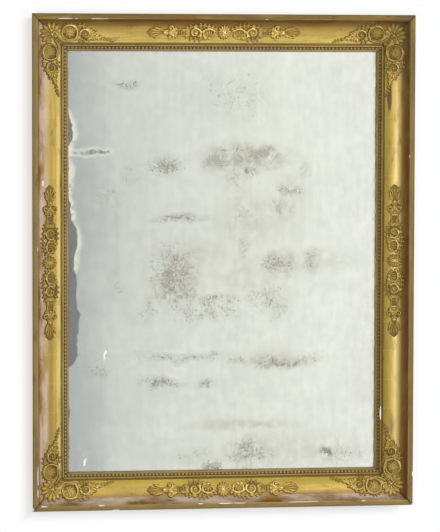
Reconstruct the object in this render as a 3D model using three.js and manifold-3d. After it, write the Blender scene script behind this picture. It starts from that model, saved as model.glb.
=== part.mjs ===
// A giltwood pier mirror of the French Restauration kind, about 1.4 m high.
//
// Four lengths of one wide moulding are mitred and keyed into a frame. The moulding has a flat outer band,
// a step, a deep cove, a quirk with a fillet, a bed for a course of pearls, and a lip over the mirror
// plate. Cast composition ornament is seated in the cove: a palmette with two scrolled sprays at each
// corner, and a long symmetric ornament in the middle of each side. The silvered plate lies in a rebate,
// held by glue blocks, and pine boards close the back. The mirror hangs by two iron rings, which swing in
// straps on the back of the stiles.
//
// Millimetres. X to the right, Z up, and the front looks along -Y. The origin is the middle of the back, on
// the wall. In the moulding, "in" is the distance from the frame's outer edge towards the glass, and "deep"
// is the height above the frame's back, towards the viewer.
import * as THREE from "three";
import { mergeVertices } from "three/addons/utils/BufferGeometryUtils.js";
import Module from "manifold-3d";

// Overall sizes
const FRAME_WIDTH = 1090;
const FRAME_HEIGHT = 1400;
const FRAME_DEPTH = 62; // from the back of the moulding to its outer band
const RAIL_WIDTH = 105; // from the outer edge to the sight edge

// The moulding's section
const BAND_WIDTH = 15.5;
const BAND_ROUND = 2.5;
const STEP_WIDTH = 3;
const STEP_DROP = 5;
const COVE_FLOOR = 24; // how deep the wood still is where the cove ends
const COVE_FACETS = 14;
const SEAT_FACETS = 4; // under an ornament
const QUIRK_WIDTH = 3;
const QUIRK_DROP = 2.5;
const FILLET_WIDTH = 5;
const FILLET_RISE = 2.5;
const PEARL_BED_WIDTH = 7.5;
const PEARL_BED_DROP = 3.5; // below the cove's floor
const LIP_WIDTH = 6.5;
const LIP_ROUND = 2.5;
const LIP_RISE = 1.5; // of the lip's top over the pearls' bed
const LIP_THICKNESS = 4; // at the sight edge, in front of the glass

// Pearl course
const PEARL_PITCH = 10.5;
const PEARL_WIDTH = 7;
const PEARL_HEIGHT = 4.2;
const PEARL_NECK = 0.36; // a share of the pearl's width and height

// Plate, blocks and boards
const REBATE_WIDTH = 12;
const GLASS_THICKNESS = 4;
const GLASS_PLAY = 2; // between the plate's edge and the rebate's wall
const SILVERING_THICKNESS = 0.3;
const BLOCK_LENGTH = 60;
const BLOCK_WIDTH = 11;
const BLOCKS_ON_STILE = 3;
const BLOCKS_ON_RAIL = 2;
const BOARD_THICKNESS = 12;
const BOARD_COUNT = 5;
const BOARD_OVERLAP = 20; // over the back of the moulding
const BOARD_GAP = 0.6;

// Keys across the mitres
const KEY_SETBACK = 40; // from each outer edge to the key's middle
const KEY_HALF_LENGTH = 26;
const KEY_HALF_END = 11;
const KEY_HALF_WAIST = 6;
const KEY_THICKNESS = 6;

// Hangers
const HANGER_FROM_TOP = 270;
const HANGER_FROM_EDGE = 36;
const STRAP_LENGTH = 70;
const STRAP_WIDTH = 18;
const STRAP_THICKNESS = 1.6;
const EYE_RISE = 5; // from the back of the stile to the ring's bar
const WIRE_RADIUS = 2.5;
const EYE_CLEARANCE = 0.4;
const RING_HALF_WIDTH = 20;
const RING_SIDE = 11;
const RING_CORNER = 5;
const SCREW_RADIUS = 2.3;
const SCREW_SPOTS = [14, 34, 56]; // down the strap, from the ring's bar

// Ornament
const CORNER_REACH = 234; // of a spray, from the outer edge of the next side
const FLOWER_RADIUS = 20;
const FLOWER_SKIRT = 1.1; // a share of that radius, where the wings beside the flower begin
const CENTRE_HALF = 226; // half the length of a side's ornament
const ORNAMENT_SPACE = 8; // the least bare cove between a spray and the side's ornament
const SINK = 2.5; // of an ornament's drawn edge below the cove, before its back is cut to fit

// Fits
const SEAT_GAP = 0.35;
const JOINT_GAP = 0.3;

// Places that follow from the sizes
const COVE_START = BAND_WIDTH + STEP_WIDTH;
const COVE_END = RAIL_WIDTH - LIP_WIDTH - PEARL_BED_WIDTH - FILLET_WIDTH - QUIRK_WIDTH;
const COVE_TOP = FRAME_DEPTH - STEP_DROP;
const PEARL_BED = COVE_FLOOR - PEARL_BED_DROP;
const PEARL_LINE = RAIL_WIDTH - LIP_WIDTH - PEARL_BED_WIDTH / 2;
const LIP_TOP = PEARL_BED + LIP_RISE;
const REBATE_DEPTH = LIP_TOP - LIP_ROUND - LIP_THICKNESS;
const REBATE_IN = RAIL_WIDTH - REBATE_WIDTH;
const GLASS_IN = REBATE_IN + GLASS_PLAY;
const GLASS_FRONT = REBATE_DEPTH - JOINT_GAP;
const GLASS_BACK = GLASS_FRONT - GLASS_THICKNESS;
const SILVERING_BACK = GLASS_BACK - SILVERING_THICKNESS;
const HALF_WIDTH = FRAME_WIDTH / 2;
const HALF_HEIGHT = FRAME_HEIGHT / 2;
const PALMETTE_END = COVE_END + 1.5; // from the outer edges, where the sprays begin

const wasm = await Module();
wasm.setup();

const finish = (color, roughness, metalness = 0) =>
  new THREE.MeshStandardMaterial({ color, roughness, metalness });
const materials = {
  gilding: finish(0xb6924c, 0.42, 0.85),
  ornament: finish(0xb08a3c, 0.45, 0.85),
  pearls: finish(0x9a7c46, 0.5, 0.8),
  glass: finish(0xdfe3de, 0.04),
  silvering: finish(0xd4d6d0, 0.12, 1),
  softwood: finish(0xb08a5c, 0.8),
  boards: finish(0x96724a, 0.85),
  iron: finish(0x3c3834, 0.6, 0.9),
};

const degrees = THREE.MathUtils.degToRad;

// ---- Solids ---------------------------------------------------------------------------------------------

// A closed geometry as a solid that can be joined to others or cut by them.
function solidOf(geometry) {
  const bare = new THREE.BufferGeometry();
  bare.setAttribute("position", geometry.getAttribute("position"));
  bare.setIndex(geometry.getIndex());
  const merged = mergeVertices(bare, 1e-4);
  return new wasm.Manifold(
    new wasm.Mesh({
      numProp: 3,
      vertProperties: merged.getAttribute("position").array,
      triVerts: new Uint32Array(merged.getIndex().array),
    }),
  );
}

function geometryOf(solid) {
  const { vertProperties, triVerts } = solid.getMesh();
  const geometry = new THREE.BufferGeometry();
  geometry.setAttribute("position", new THREE.BufferAttribute(vertProperties, 3));
  geometry.setIndex(new THREE.BufferAttribute(triVerts, 1));
  const flat = geometry.toNonIndexed();
  flat.computeVertexNormals();
  return flat;
}

const cut = (geometry, ...cutters) =>
  geometryOf(cutters.reduce((left, cutter) => left.subtract(solidOf(cutter)), solidOf(geometry)));

// Skins a row of rings, each a list of as many points. The first ring is closed with a fan, and the last
// one with another or with an apex. The faces are turned outwards whichever way the rings run.
function loft(rings, apex) {
  const points = rings.flat();
  const around = rings[0].length;
  const faces = [];
  for (let ring = 0; ring + 1 < rings.length; ring++) {
    for (let side = 0; side < around; side++) {
      const near = ring * around + side;
      const next = ring * around + ((side + 1) % around);
      faces.push([near, next, next + around], [near, next + around, near + around]);
    }
  }
  const last = points.length - around;
  for (let side = 1; side + 1 < around; side++) {
    faces.push([0, side + 1, side]);
    if (!apex) faces.push([last, last + side, last + side + 1]);
  }
  if (apex) {
    for (let side = 0; side < around; side++) {
      faces.push([last + side, last + ((side + 1) % around), points.length]);
    }
    points.push(apex);
  }
  const volume = faces.reduce(
    (sum, [a, b, c]) => sum + points[a].dot(points[b].clone().cross(points[c])),
    0,
  );
  const geometry = new THREE.BufferGeometry().setFromPoints(points);
  geometry.setIndex(faces.flatMap(([a, b, c]) => (volume < 0 ? [a, c, b] : [a, b, c])));
  return geometry;
}

// A plate whose outline lies across the wall, from yBack forwards.
function plate(shape, yBack, thickness) {
  return new THREE.ExtrudeGeometry(shape, { depth: thickness, bevelEnabled: false })
    .rotateX(Math.PI / 2)
    .translate(0, yBack, 0);
}

const outline = (points) => new THREE.Shape(points.map(([x, y]) => new THREE.Vector2(x, y)));

// ---- The moulding ---------------------------------------------------------------------------------------

// The cove is a quarter of an ellipse, upright at the step and flat at the quirk.
const coveWidth = COVE_END - COVE_START;
const coveFall = COVE_TOP - COVE_FLOOR;

function coveDeep(inward) {
  const across = THREE.MathUtils.clamp((COVE_END - inward) / coveWidth, 0, 1);
  return COVE_TOP - coveFall * Math.sqrt(1 - across * across);
}

function covePoints(facets) {
  const points = [];
  for (let i = 0; i <= facets; i++) {
    const angle = (i / facets) * (Math.PI / 2);
    points.push([COVE_END - coveWidth * Math.cos(angle), COVE_TOP - coveFall * Math.sin(angle)]);
  }
  return points;
}

// A quarter round between two faces, as points from the first to the second.
function rounded(centreIn, centreDeep, radius, fromDegrees, toDegrees, steps = 3) {
  const points = [];
  for (let i = 0; i <= steps; i++) {
    const angle = degrees(fromDegrees + ((toDegrees - fromDegrees) * i) / steps);
    points.push([centreIn + radius * Math.cos(angle), centreDeep + radius * Math.sin(angle)]);
  }
  return points;
}

function mouldingSection() {
  const fillet = COVE_END + QUIRK_WIDTH;
  const bed = fillet + FILLET_WIDTH;
  const lip = bed + PEARL_BED_WIDTH;
  const filletRound = FILLET_WIDTH / 2;
  return outline([
    [0, 0],
    ...rounded(BAND_ROUND, FRAME_DEPTH - BAND_ROUND, BAND_ROUND, 180, 90),
    ...rounded(BAND_WIDTH - 1, FRAME_DEPTH - 1, 1, 90, 0, 2),
    [BAND_WIDTH, COVE_TOP],
    ...covePoints(COVE_FACETS),
    [COVE_END, COVE_FLOOR - QUIRK_DROP],
    [fillet, COVE_FLOOR - QUIRK_DROP],
    ...rounded(fillet + filletRound, COVE_FLOOR + FILLET_RISE - filletRound, filletRound, 180, 0, 4),
    [bed, PEARL_BED],
    [lip, PEARL_BED],
    [lip, LIP_TOP],
    ...rounded(RAIL_WIDTH - LIP_ROUND, LIP_TOP - LIP_ROUND, LIP_ROUND, 90, 0),
    [RAIL_WIDTH, REBATE_DEPTH],
    [REBATE_IN, REBATE_DEPTH],
    [REBATE_IN, 0],
  ]);
}

// A length of some section, laid along X with its outer edge on the X axis and the glass below it.
function run(section, length) {
  const lay = new THREE.Matrix4();
  lay.set(0, 0, -1, length / 2, 0, -1, 0, -BOARD_THICKNESS, -1, 0, 0, 0, 0, 0, 0, 1);
  return new THREE.ExtrudeGeometry(section, { depth: length, bevelEnabled: false }).applyMatrix4(lay);
}

// The same, with its ends slanted to 45 degrees, so that each end is shorter by the distance in.
function mitred(section, length) {
  const geometry = run(section, length);
  const position = geometry.getAttribute("position");
  for (let i = 0; i < position.count; i++) {
    const reach = length / 2 + position.getZ(i) - JOINT_GAP / Math.SQRT2;
    position.setX(i, Math.sign(position.getX(i)) * reach);
  }
  return geometry;
}

// A double dovetail, whose waist lies on the mitre. It is let in flush with the back.
function mitreKey(grow = 0) {
  const ends = KEY_HALF_LENGTH + grow;
  const wide = KEY_HALF_END + grow;
  const waist = KEY_HALF_WAIST + grow;
  const shape = outline([
    [-ends, -wide],
    [0, -waist],
    [ends, -wide],
    [ends, wide],
    [0, waist],
    [-ends, wide],
  ]);
  return plate(shape, -BOARD_THICKNESS, KEY_THICKNESS + grow).rotateY(degrees(45));
}

function rail(length) {
  const place = length / 2 - KEY_SETBACK;
  const right = mitreKey(JOINT_GAP).translate(place, 0, -KEY_SETBACK);
  const left = mitreKey(JOINT_GAP).rotateY(degrees(90)).translate(-place, 0, -KEY_SETBACK);
  return cut(mitred(mouldingSection(), length), right, left);
}

// ---- The pearl course -----------------------------------------------------------------------------------

// Half-round pearls in one strip, given from the crest of the first to the crest of the last. Between two
// pearls is a neck, and the strip's ends slope down within the bed of the side that they meet.
function pearlStrip(length) {
  const count = Math.round(length / PEARL_PITCH);
  const end = length / 2 + PEARL_BED_WIDTH / 2 - JOINT_GAP;
  const base = -(BOARD_THICKNESS + PEARL_BED + JOINT_GAP);
  const ring = (along, share) => [
    new THREE.Vector3(along, base, -PEARL_LINE + (share * PEARL_WIDTH) / 2),
    new THREE.Vector3(along, base - share * PEARL_HEIGHT, -PEARL_LINE),
    new THREE.Vector3(along, base, -PEARL_LINE - (share * PEARL_WIDTH) / 2),
  ];
  const rings = [ring(-end, PEARL_NECK)];
  for (let i = 0; i <= 2 * count; i++) {
    rings.push(ring((i / count - 1) * (length / 2), i % 2 === 0 ? 1 : PEARL_NECK));
  }
  rings.push(ring(end, PEARL_NECK));
  return loft(rings);
}

// ---- Ornament -------------------------------------------------------------------------------------------

// Relief is drawn flat, over (along, inward), and then seated on the cove point by point. Its edges start a
// little under the cove's surface, and the cut that fits its back to the cove removes them.

const flatPoint = ([x, y]) => new THREE.Vector2(x, y);

// A stroke is a ridge along a path, with a half width and a height at each share of its length.
function stroke(steps, path, half, high) {
  return (seat) => {
    const rings = [];
    for (let i = 0; i <= steps; i++) {
      const t = i / steps;
      const run = path(Math.min(1, t + 0.01)).sub(path(Math.max(0, t - 0.01)));
      const normal = run.normalize().rotateAround(new THREE.Vector2(), Math.PI / 2);
      const at = (across, height) => {
        const point = path(t).addScaledVector(normal, across);
        return seat(point.x, point.y, height);
      };
      const foot = half(t) * (1 + SINK / high(t));
      rings.push([at(-foot, -SINK), at(0, high(t)), at(foot, -SINK)]);
    }
    return loft(rings);
  };
}

// A pointed petal, widest past its middle.
function petal(root, heading, length, half, high, steps = 3) {
  const direction = new THREE.Vector2(Math.cos(degrees(heading)), Math.sin(degrees(heading)));
  const taper = (t) => (t > 0.99 ? 0.3 : 1);
  return stroke(
    steps,
    (t) => flatPoint(root).addScaledVector(direction, t * length),
    (t) => half * (0.5 + 0.5 * Math.sin(Math.PI * t)) * taper(t),
    (t) => high * (0.8 + 0.2 * Math.sin(Math.PI * t)) * taper(t),
  );
}

// A band that curls round a centre as its radius shrinks.
function scroll(centre, fromDegrees, turn, startRadius, endRadius, half, high, steps) {
  return stroke(
    steps,
    (t) => {
      const angle = degrees(fromDegrees + turn * t);
      const radius = THREE.MathUtils.lerp(startRadius, endRadius, t);
      const turned = new THREE.Vector2(Math.cos(angle), Math.sin(angle));
      return turned.multiplyScalar(radius).add(flatPoint(centre));
    },
    (t) => half * (1 - 0.4 * t),
    (t) => high * (0.8 + 0.2 * t),
  );
}

// A leaf along a bent line, its edge cut into lobes.
function leaf(points, half, high, lobes, steps) {
  const curve = new THREE.SplineCurve(points.map(flatPoint));
  const swell = (t) => Math.sin(Math.PI * (0.15 + 0.78 * t));
  return stroke(
    steps,
    (t) => curve.getPoint(t),
    (t) => half * swell(t) * (0.8 + 0.2 * Math.cos(2 * Math.PI * lobes * t)),
    (t) => high * (0.5 + 0.5 * swell(t)),
  );
}

// A fan of ribs from one root, as on a palmette or a shell. Its middle rib is the longest, and the root is
// a boss.
function fan(root, heading, spread, lobes, length, high, shortest = 0.7, boss = 0.8) {
  return (seat) => {
    const point = (angle, reach, height) =>
      seat(root[0] + reach * Math.cos(degrees(angle)), root[1] + reach * Math.sin(degrees(angle)), height);
    const row = (share, ribHeight, hollowHeight) => {
      const ring = [point(heading, -2, hollowHeight)];
      for (let i = 0; i <= 2 * lobes; i++) {
        const side = i / lobes - 1;
        const rib = i % 2 === 1;
        const reach = length * share * (1 - (1 - shortest) * side * side) * (rib ? 1 : 0.84);
        ring.push(point(heading + spread * side, reach, rib ? ribHeight : hollowHeight));
      }
      return ring;
    };
    return loft([row(1, -SINK, -SINK), row(0.68, high, 0.6 * high)], seat(...root, boss * high));
  };
}

// A round flower: a lobed disc with a hollow round its boss. It may be longer across the cove than along
// it.
function rosette(centre, radius, high, lobes, acrossShare = 1) {
  return (seat) => {
    const row = (share, height) => {
      const ring = [];
      for (let i = 0; i < 2 * lobes; i++) {
        const angle = ((i + 0.5) / lobes) * Math.PI;
        const reach = radius * share * (i % 2 ? 0.84 : 1);
        const across = acrossShare * Math.sin(angle);
        ring.push(seat(centre[0] + reach * Math.cos(angle), centre[1] + reach * across, height));
      }
      return ring;
    };
    return loft([row(1.15, -SINK), row(0.74, 0.85 * high), row(0.36, 0.5 * high)], seat(...centre, high));
  };
}

// Joins the pieces of one casting and cuts its back to the cove, with the seat's gap.
function casting(pieces, seat, blanks) {
  const whole = pieces.map((piece) => solidOf(piece(seat))).reduce((sum, piece) => sum.add(piece));
  return geometryOf(blanks.map(solidOf).reduce((left, blank) => left.subtract(blank), whole));
}

// The cove's wood as a plain run, raised by the seat's gap. Two that cross make the corner.
function coveBlank(length) {
  const raised = (deep) => deep + SEAT_GAP;
  return run(
    outline([
      [0, 0],
      [0, raised(COVE_TOP)],
      ...covePoints(SEAT_FACETS).map(([inward, deep]) => [inward, raised(deep)]),
      [RAIL_WIDTH, raised(COVE_FLOOR)],
      [RAIL_WIDTH, 0],
    ]),
    length,
  );
}

// The ornament is drawn over fixed spans, and is then stretched to the span that the real sizes leave for
// it.
const DRAWN_COVE = [18.5, 82.5];
const DRAWN_SPRAY = [84, 234];
const DRAWN_WING = [22, 226];

const stretchOf = ([from, to], start, end) => (end - start) / (to - from);
const stretched = (drawn, start, end) => (value) => start + (value - drawn[0]) * stretchOf(drawn, start, end);
const coveScale = stretchOf(DRAWN_COVE, COVE_START, COVE_END);
const acrossCove = stretched(DRAWN_COVE, COVE_START, COVE_END);

// The top right corner's plane: along and inward are distances from its two outer edges.
const cornerSeat = (along, inward, height) =>
  new THREE.Vector3(
    HALF_WIDTH - along,
    -(BOARD_THICKNESS + coveDeep(Math.min(along, inward)) + height),
    HALF_HEIGHT - inward,
  );
const turnedCornerSeat = (along, inward, height) => cornerSeat(inward, along, height);

const cornerBlanks = () => [
  coveBlank(FRAME_WIDTH).translate(0, 0, HALF_HEIGHT),
  coveBlank(FRAME_HEIGHT).rotateY(degrees(90)).translate(HALF_WIDTH, 0, 0),
];

// Seven ribs open towards the outer corner, and a leaf points to the inner one.
function palmette() {
  const heart = [acrossCove(57), acrossCove(57)];
  return casting(
    [
      fan(heart, 225, 105, 7, 38 * coveScale, 8, 0.86, 1.3),
      petal(heart, 45, 25 * coveScale, 8 * coveScale, 7, 2),
    ],
    cornerSeat,
    cornerBlanks(),
  );
}

// From the palmette: a scroll round a flower, a leafy scroll, and buds that taper to a point.
function cornerSpray(seat, blank) {
  const span = [DRAWN_SPRAY, PALMETTE_END, CORNER_REACH];
  const stretch = stretchOf(...span);
  const place = (along, inward) => [stretched(...span)(along), acrossCove(inward)];
  return casting(
    [
      scroll(place(109, 53), 150, 360, 20 * coveScale, 13 * coveScale, 5, 8, 8),
      rosette(place(109, 53), 11 * coveScale, 8.5, 4),
      leaf([place(120, 67), place(138, 72), place(160, 66)], 9, 6.5, 2, 3),
      leaf([place(118, 37), place(138, 32), place(162, 42)], 9, 6.5, 2, 3),
      scroll(place(152, 54), 200, 290, 16 * coveScale, 8 * coveScale, 6, 8, 6),
      fan(place(163, 59), 10, 68, 3, 33 * stretch, 7.5, 0.75),
      fan(place(182, 63), 6, 36, 3, 54 * stretch, 6.5, 0.5),
    ],
    seat,
    [blank],
  );
}

// A side's own plane: along is measured from its middle.
const sideSeat = (along, inward, height) =>
  new THREE.Vector3(along, -(BOARD_THICKNESS + coveDeep(inward) + height), -inward);

// The flower in the middle of a side.
const centreFlower = () => {
  const flower = rosette([0, acrossCove(50)], FLOWER_RADIUS, 9, 8, 1.22 * coveScale);
  return casting([flower], sideSeat, [coveBlank(FRAME_WIDTH)]);
};

// From the flower to one end: a pair of scrolls under long leaves, two lilies, a collar and a pointed
// shell.
function centreWing(length) {
  const reach = Math.min(CENTRE_HALF, length / 2 - CORNER_REACH - ORNAMENT_SPACE);
  const span = [DRAWN_WING, FLOWER_RADIUS * FLOWER_SKIRT, reach];
  const stretch = stretchOf(...span);
  const place = (along, inward) => [stretched(...span)(along), acrossCove(inward)];
  return casting(
    [
      scroll(place(43, 58), 190, -300, 14 * coveScale, 7 * coveScale, 6, 8, 6),
      scroll(place(78, 45), 170, 300, 15 * coveScale, 8 * coveScale, 6, 8, 6),
      leaf([place(27, 44), place(44, 36), place(68, 29), place(94, 33)], 10, 7.5, 2, 4),
      leaf([place(48, 63), place(70, 69), place(92, 68), place(112, 62)], 10, 7.5, 2, 3),
      fan(place(88, 50), 0, 40, 3, 44 * stretch, 8),
      fan(place(118, 50), 0, 66, 3, 36 * stretch, 7),
      stroke(2, (t) => flatPoint(place(162, 37 + 26 * t)), () => 5 * stretch, () => 7),
      petal(place(148, 50), 0, 40 * stretch, 7, 7, 2),
      fan(place(178, 50), 0, 80, 5, 48 * stretch, 7.5, 0.36),
    ],
    sideSeat,
    [coveBlank(length)],
  );
}

// ---- Plate, blocks and boards ---------------------------------------------------------------------------

const glassSize = [FRAME_WIDTH - 2 * GLASS_IN, FRAME_HEIGHT - 2 * GLASS_IN];

function sheetOf(thickness, back) {
  const [wide, high] = glassSize;
  const middle = BOARD_THICKNESS + back + thickness / 2;
  return new THREE.BoxGeometry(wide, thickness, high).translate(0, -middle, 0);
}

// A glue block: square to the rebate's wall, and sloped on the side of the glass.
function glueBlock() {
  const wall = REBATE_IN + JOINT_GAP;
  const top = SILVERING_BACK - JOINT_GAP;
  const section = outline([
    [wall, JOINT_GAP],
    [wall, top],
    [wall + BLOCK_WIDTH, top],
    [wall + BLOCK_WIDTH, top * 0.7],
    [wall + BLOCK_WIDTH * 0.55, JOINT_GAP],
  ]);
  return run(section, BLOCK_LENGTH);
}

// Boards laid across the opening's back, edge to edge.
function backBoard(index) {
  const wide = FRAME_WIDTH - 2 * (REBATE_IN - BOARD_OVERLAP);
  const covered = FRAME_HEIGHT - 2 * (REBATE_IN - BOARD_OVERLAP);
  const pitch = covered / BOARD_COUNT;
  const geometry = new THREE.BoxGeometry(wide, BOARD_THICKNESS, pitch - BOARD_GAP);
  return geometry.translate(0, -BOARD_THICKNESS / 2, covered / 2 - (index + 0.5) * pitch);
}

// ---- Hangers --------------------------------------------------------------------------------------------

// The strap is one strip of iron, curled round the ring's bar and held by three screws. Its ring's bar is
// at the origin of this plane: across is down the strap, and the stile's back lies EYE_RISE in front of the
// bar.
function hangerStrap() {
  const inner = WIRE_RADIUS + EYE_CLEARANCE;
  const outer = inner + STRAP_THICKNESS;
  const curlEnd = 215;
  const section = outline([
    [-STRAP_LENGTH, -EYE_RISE],
    [-1, -EYE_RISE],
    ...rounded(0, 0, outer, -90, curlEnd, 8),
    ...rounded(0, 0, inner, curlEnd, -90, 8),
    [-3, STRAP_THICKNESS - EYE_RISE],
    [-STRAP_LENGTH, STRAP_THICKNESS - EYE_RISE],
  ]);
  // The section's first axis becomes Z and its second one Y.
  const lay = new THREE.Matrix4();
  lay.set(0, 0, -1, STRAP_WIDTH / 2, 0, 1, 0, 0, 1, 0, 0, 0, 0, 0, 0, 1);
  const strip = new THREE.ExtrudeGeometry(section, { depth: STRAP_WIDTH, bevelEnabled: false });
  const holes = SCREW_SPOTS.map((spot) =>
    new THREE.CylinderGeometry(SCREW_RADIUS, SCREW_RADIUS, 4 * EYE_RISE, 6).translate(0, 0, -spot),
  );
  return cut(strip.applyMatrix4(lay), ...holes);
}

// The ring's centre line: a straight bar on X, round corners, two short sides and a half circle below.
class RingLine extends THREE.Curve {
  constructor() {
    super();
    const side = RING_HALF_WIDTH;
    const bar = side - RING_CORNER;
    const low = -RING_CORNER - RING_SIDE;
    this.path = new THREE.Path();
    this.path.moveTo(-bar, 0);
    this.path.lineTo(bar, 0);
    this.path.absarc(bar, -RING_CORNER, RING_CORNER, Math.PI / 2, 0, true);
    this.path.lineTo(side, low);
    this.path.absarc(0, low, side, 0, -Math.PI, true);
    this.path.lineTo(-side, -RING_CORNER);
    this.path.absarc(-bar, -RING_CORNER, RING_CORNER, Math.PI, Math.PI / 2, true);
  }

  getPoint(t) {
    const point = this.path.getPointAt(t % 1);
    return new THREE.Vector3(point.x, 0, point.y);
  }
}

const hangerRing = () => new THREE.TubeGeometry(new RingLine(), 26, WIRE_RADIUS, 6, true);

// ---- The mirror -----------------------------------------------------------------------------------------

const mirror = new THREE.Group();

function add(parent, name, geometry, material) {
  const mesh = new THREE.Mesh(geometry, material);
  mesh.name = name;
  parent.add(mesh);
  return mesh;
}

// Each side of the frame is drawn as the top one and turned into place.
const railSide = { member: "rail", length: FRAME_WIDTH, blocks: BLOCKS_ON_RAIL };
const stileSide = { member: "stile", length: FRAME_HEIGHT, blocks: BLOCKS_ON_STILE };
const sides = [
  { name: "top", turn: 0, x: 0, z: HALF_HEIGHT, ...railSide },
  { name: "right", turn: 90, x: HALF_WIDTH, z: 0, ...stileSide },
  { name: "bottom", turn: 180, x: 0, z: -HALF_HEIGHT, ...railSide },
  { name: "left", turn: -90, x: -HALF_WIDTH, z: 0, ...stileSide },
];
for (const { name, member, length, turn, x, z, blocks } of sides) {
  const side = new THREE.Group();
  side.rotation.y = degrees(turn);
  side.position.set(x, 0, z);
  mirror.add(side);
  add(side, name + "_" + member, rail(length), materials.gilding);

  // The corner pearls belong to the rails, and the stiles' courses start one pearl away from them.
  const course = length - 2 * PEARL_LINE - (member === "stile" ? 2 * PEARL_PITCH : 0);
  add(side, name + "_pearls", pearlStrip(course), materials.pearls);

  add(side, name + "_flower", centreFlower(), materials.ornament);
  const wing = centreWing(length);
  add(side, name + "_wing_1", wing, materials.ornament);
  add(side, name + "_wing_2", wing, materials.ornament).scale.x = -1;

  for (let i = 0; i < blocks; i++) {
    const block = add(side, name + "_glue_block_" + (i + 1), glueBlock(), materials.softwood);
    block.position.x = (length - 2 * REBATE_IN) * ((i + 0.5) / blocks - 0.5);
  }
}

// Each corner is drawn as the top right one and mirrored into place.
const [railBlank, stileBlank] = cornerBlanks();
const cornerPalmette = palmette();
const railSpray = cornerSpray(cornerSeat, railBlank);
const stileSpray = cornerSpray(turnedCornerSeat, stileBlank);
const corners = [
  { name: "top_right", x: 1, z: 1 },
  { name: "top_left", x: -1, z: 1 },
  { name: "bottom_left", x: -1, z: -1 },
  { name: "bottom_right", x: 1, z: -1 },
];
for (const { name, x, z } of corners) {
  const corner = new THREE.Group();
  corner.scale.set(x, 1, z);
  mirror.add(corner);
  const key = mitreKey().translate(HALF_WIDTH - KEY_SETBACK, 0, HALF_HEIGHT - KEY_SETBACK);
  add(corner, name + "_mitre_key", key, materials.softwood);
  add(corner, name + "_palmette", cornerPalmette, materials.ornament);
  add(corner, name + "_spray_on_rail", railSpray, materials.ornament);
  add(corner, name + "_spray_on_stile", stileSpray, materials.ornament);
}

add(mirror, "mirror_plate", sheetOf(GLASS_THICKNESS, GLASS_BACK), materials.glass);
add(mirror, "silvering", sheetOf(SILVERING_THICKNESS, SILVERING_BACK), materials.silvering);
for (let i = 0; i < BOARD_COUNT; i++) {
  add(mirror, "back_board_" + (i + 1), backBoard(i), materials.boards);
}

for (const [name, sign] of [["left", -1], ["right", 1]]) {
  const hanger = new THREE.Group();
  hanger.position.set(
    sign * (HALF_WIDTH - HANGER_FROM_EDGE),
    EYE_RISE - BOARD_THICKNESS,
    HALF_HEIGHT - HANGER_FROM_TOP,
  );
  mirror.add(hanger);
  add(hanger, name + "_hanger_strap", hangerStrap(), materials.iron);
  add(hanger, name + "_hanger_ring", hangerRing(), materials.iron);
}

export default mirror;
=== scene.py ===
import math

import bpy
from mathutils import Matrix, Vector


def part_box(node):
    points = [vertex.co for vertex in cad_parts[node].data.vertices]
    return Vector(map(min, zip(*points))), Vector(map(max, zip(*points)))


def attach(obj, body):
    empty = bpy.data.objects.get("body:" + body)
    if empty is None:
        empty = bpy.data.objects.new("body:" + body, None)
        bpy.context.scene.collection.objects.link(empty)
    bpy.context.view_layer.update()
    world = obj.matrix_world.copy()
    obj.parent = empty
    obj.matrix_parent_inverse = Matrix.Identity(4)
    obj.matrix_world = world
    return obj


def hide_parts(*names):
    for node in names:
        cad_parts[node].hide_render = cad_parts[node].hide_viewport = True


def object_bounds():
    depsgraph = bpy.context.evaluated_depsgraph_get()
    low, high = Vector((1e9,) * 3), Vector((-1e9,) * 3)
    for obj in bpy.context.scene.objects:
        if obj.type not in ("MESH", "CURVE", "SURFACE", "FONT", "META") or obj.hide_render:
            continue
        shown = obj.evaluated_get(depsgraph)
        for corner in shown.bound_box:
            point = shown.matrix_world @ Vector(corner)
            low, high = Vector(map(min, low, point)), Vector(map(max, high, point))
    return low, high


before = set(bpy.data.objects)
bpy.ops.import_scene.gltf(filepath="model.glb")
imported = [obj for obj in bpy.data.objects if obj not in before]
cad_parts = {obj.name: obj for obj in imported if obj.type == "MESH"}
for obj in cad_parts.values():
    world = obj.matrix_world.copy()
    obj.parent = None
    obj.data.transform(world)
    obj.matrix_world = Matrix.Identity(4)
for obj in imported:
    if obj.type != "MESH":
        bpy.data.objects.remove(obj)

cad_box = [list(corner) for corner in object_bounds()]

# ---- Camera and studio -------------------------------------------------------------------------------------
# The mirror hangs on a white wall and is seen from a little to its left and above, through a long lens. The
# key lamp stands high on the right, so the shadow falls left and below. A low lamp near the camera shines in
# the coves. The wall shows only from its front, so that the back of the mirror can be seen too.
(left, front, bottom), (right, back, top) = cad_box
half_width = (right - left) / 2
half_height = (top - bottom) / 2

CAMERA_PLACE = (-1.189, -8.314, 0.524)
CAMERA_TURN = (86.332, -0.130, -8.102)
LENS = 199.7

bpy.ops.object.select_all(action="DESELECT")
bpy.ops.object.camera_add(location=CAMERA_PLACE, rotation=[math.radians(angle) for angle in CAMERA_TURN])
camera = bpy.context.object
camera.name = "photograph_camera"
camera.data.lens = LENS
bpy.context.scene.camera = camera
bpy.context.scene.view_settings.view_transform = "Standard"


class Wire:
    """One value in a material. Python's operators on it add Math nodes."""

    def __init__(self, finish, socket):
        self.finish = finish
        self.socket = socket

    def math(self, operation, *others):
        inputs = dict(enumerate((self, *others)))
        return self.finish.node("ShaderNodeMath", {"operation": operation}, inputs)[0]

    def __add__(self, other):
        return self.math("ADD", other)

    def __sub__(self, other):
        return self.math("SUBTRACT", other)

    def __mul__(self, other):
        return self.math("MULTIPLY", other)

    def __truediv__(self, other):
        return self.math("DIVIDE", other)

    def __abs__(self):
        return self.math("ABSOLUTE")

    def __rsub__(self, other):
        return self.finish.node("ShaderNodeMath", {"operation": "SUBTRACT"}, {0: other, 1: self})[0]

    __radd__ = __add__
    __rmul__ = __mul__


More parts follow.
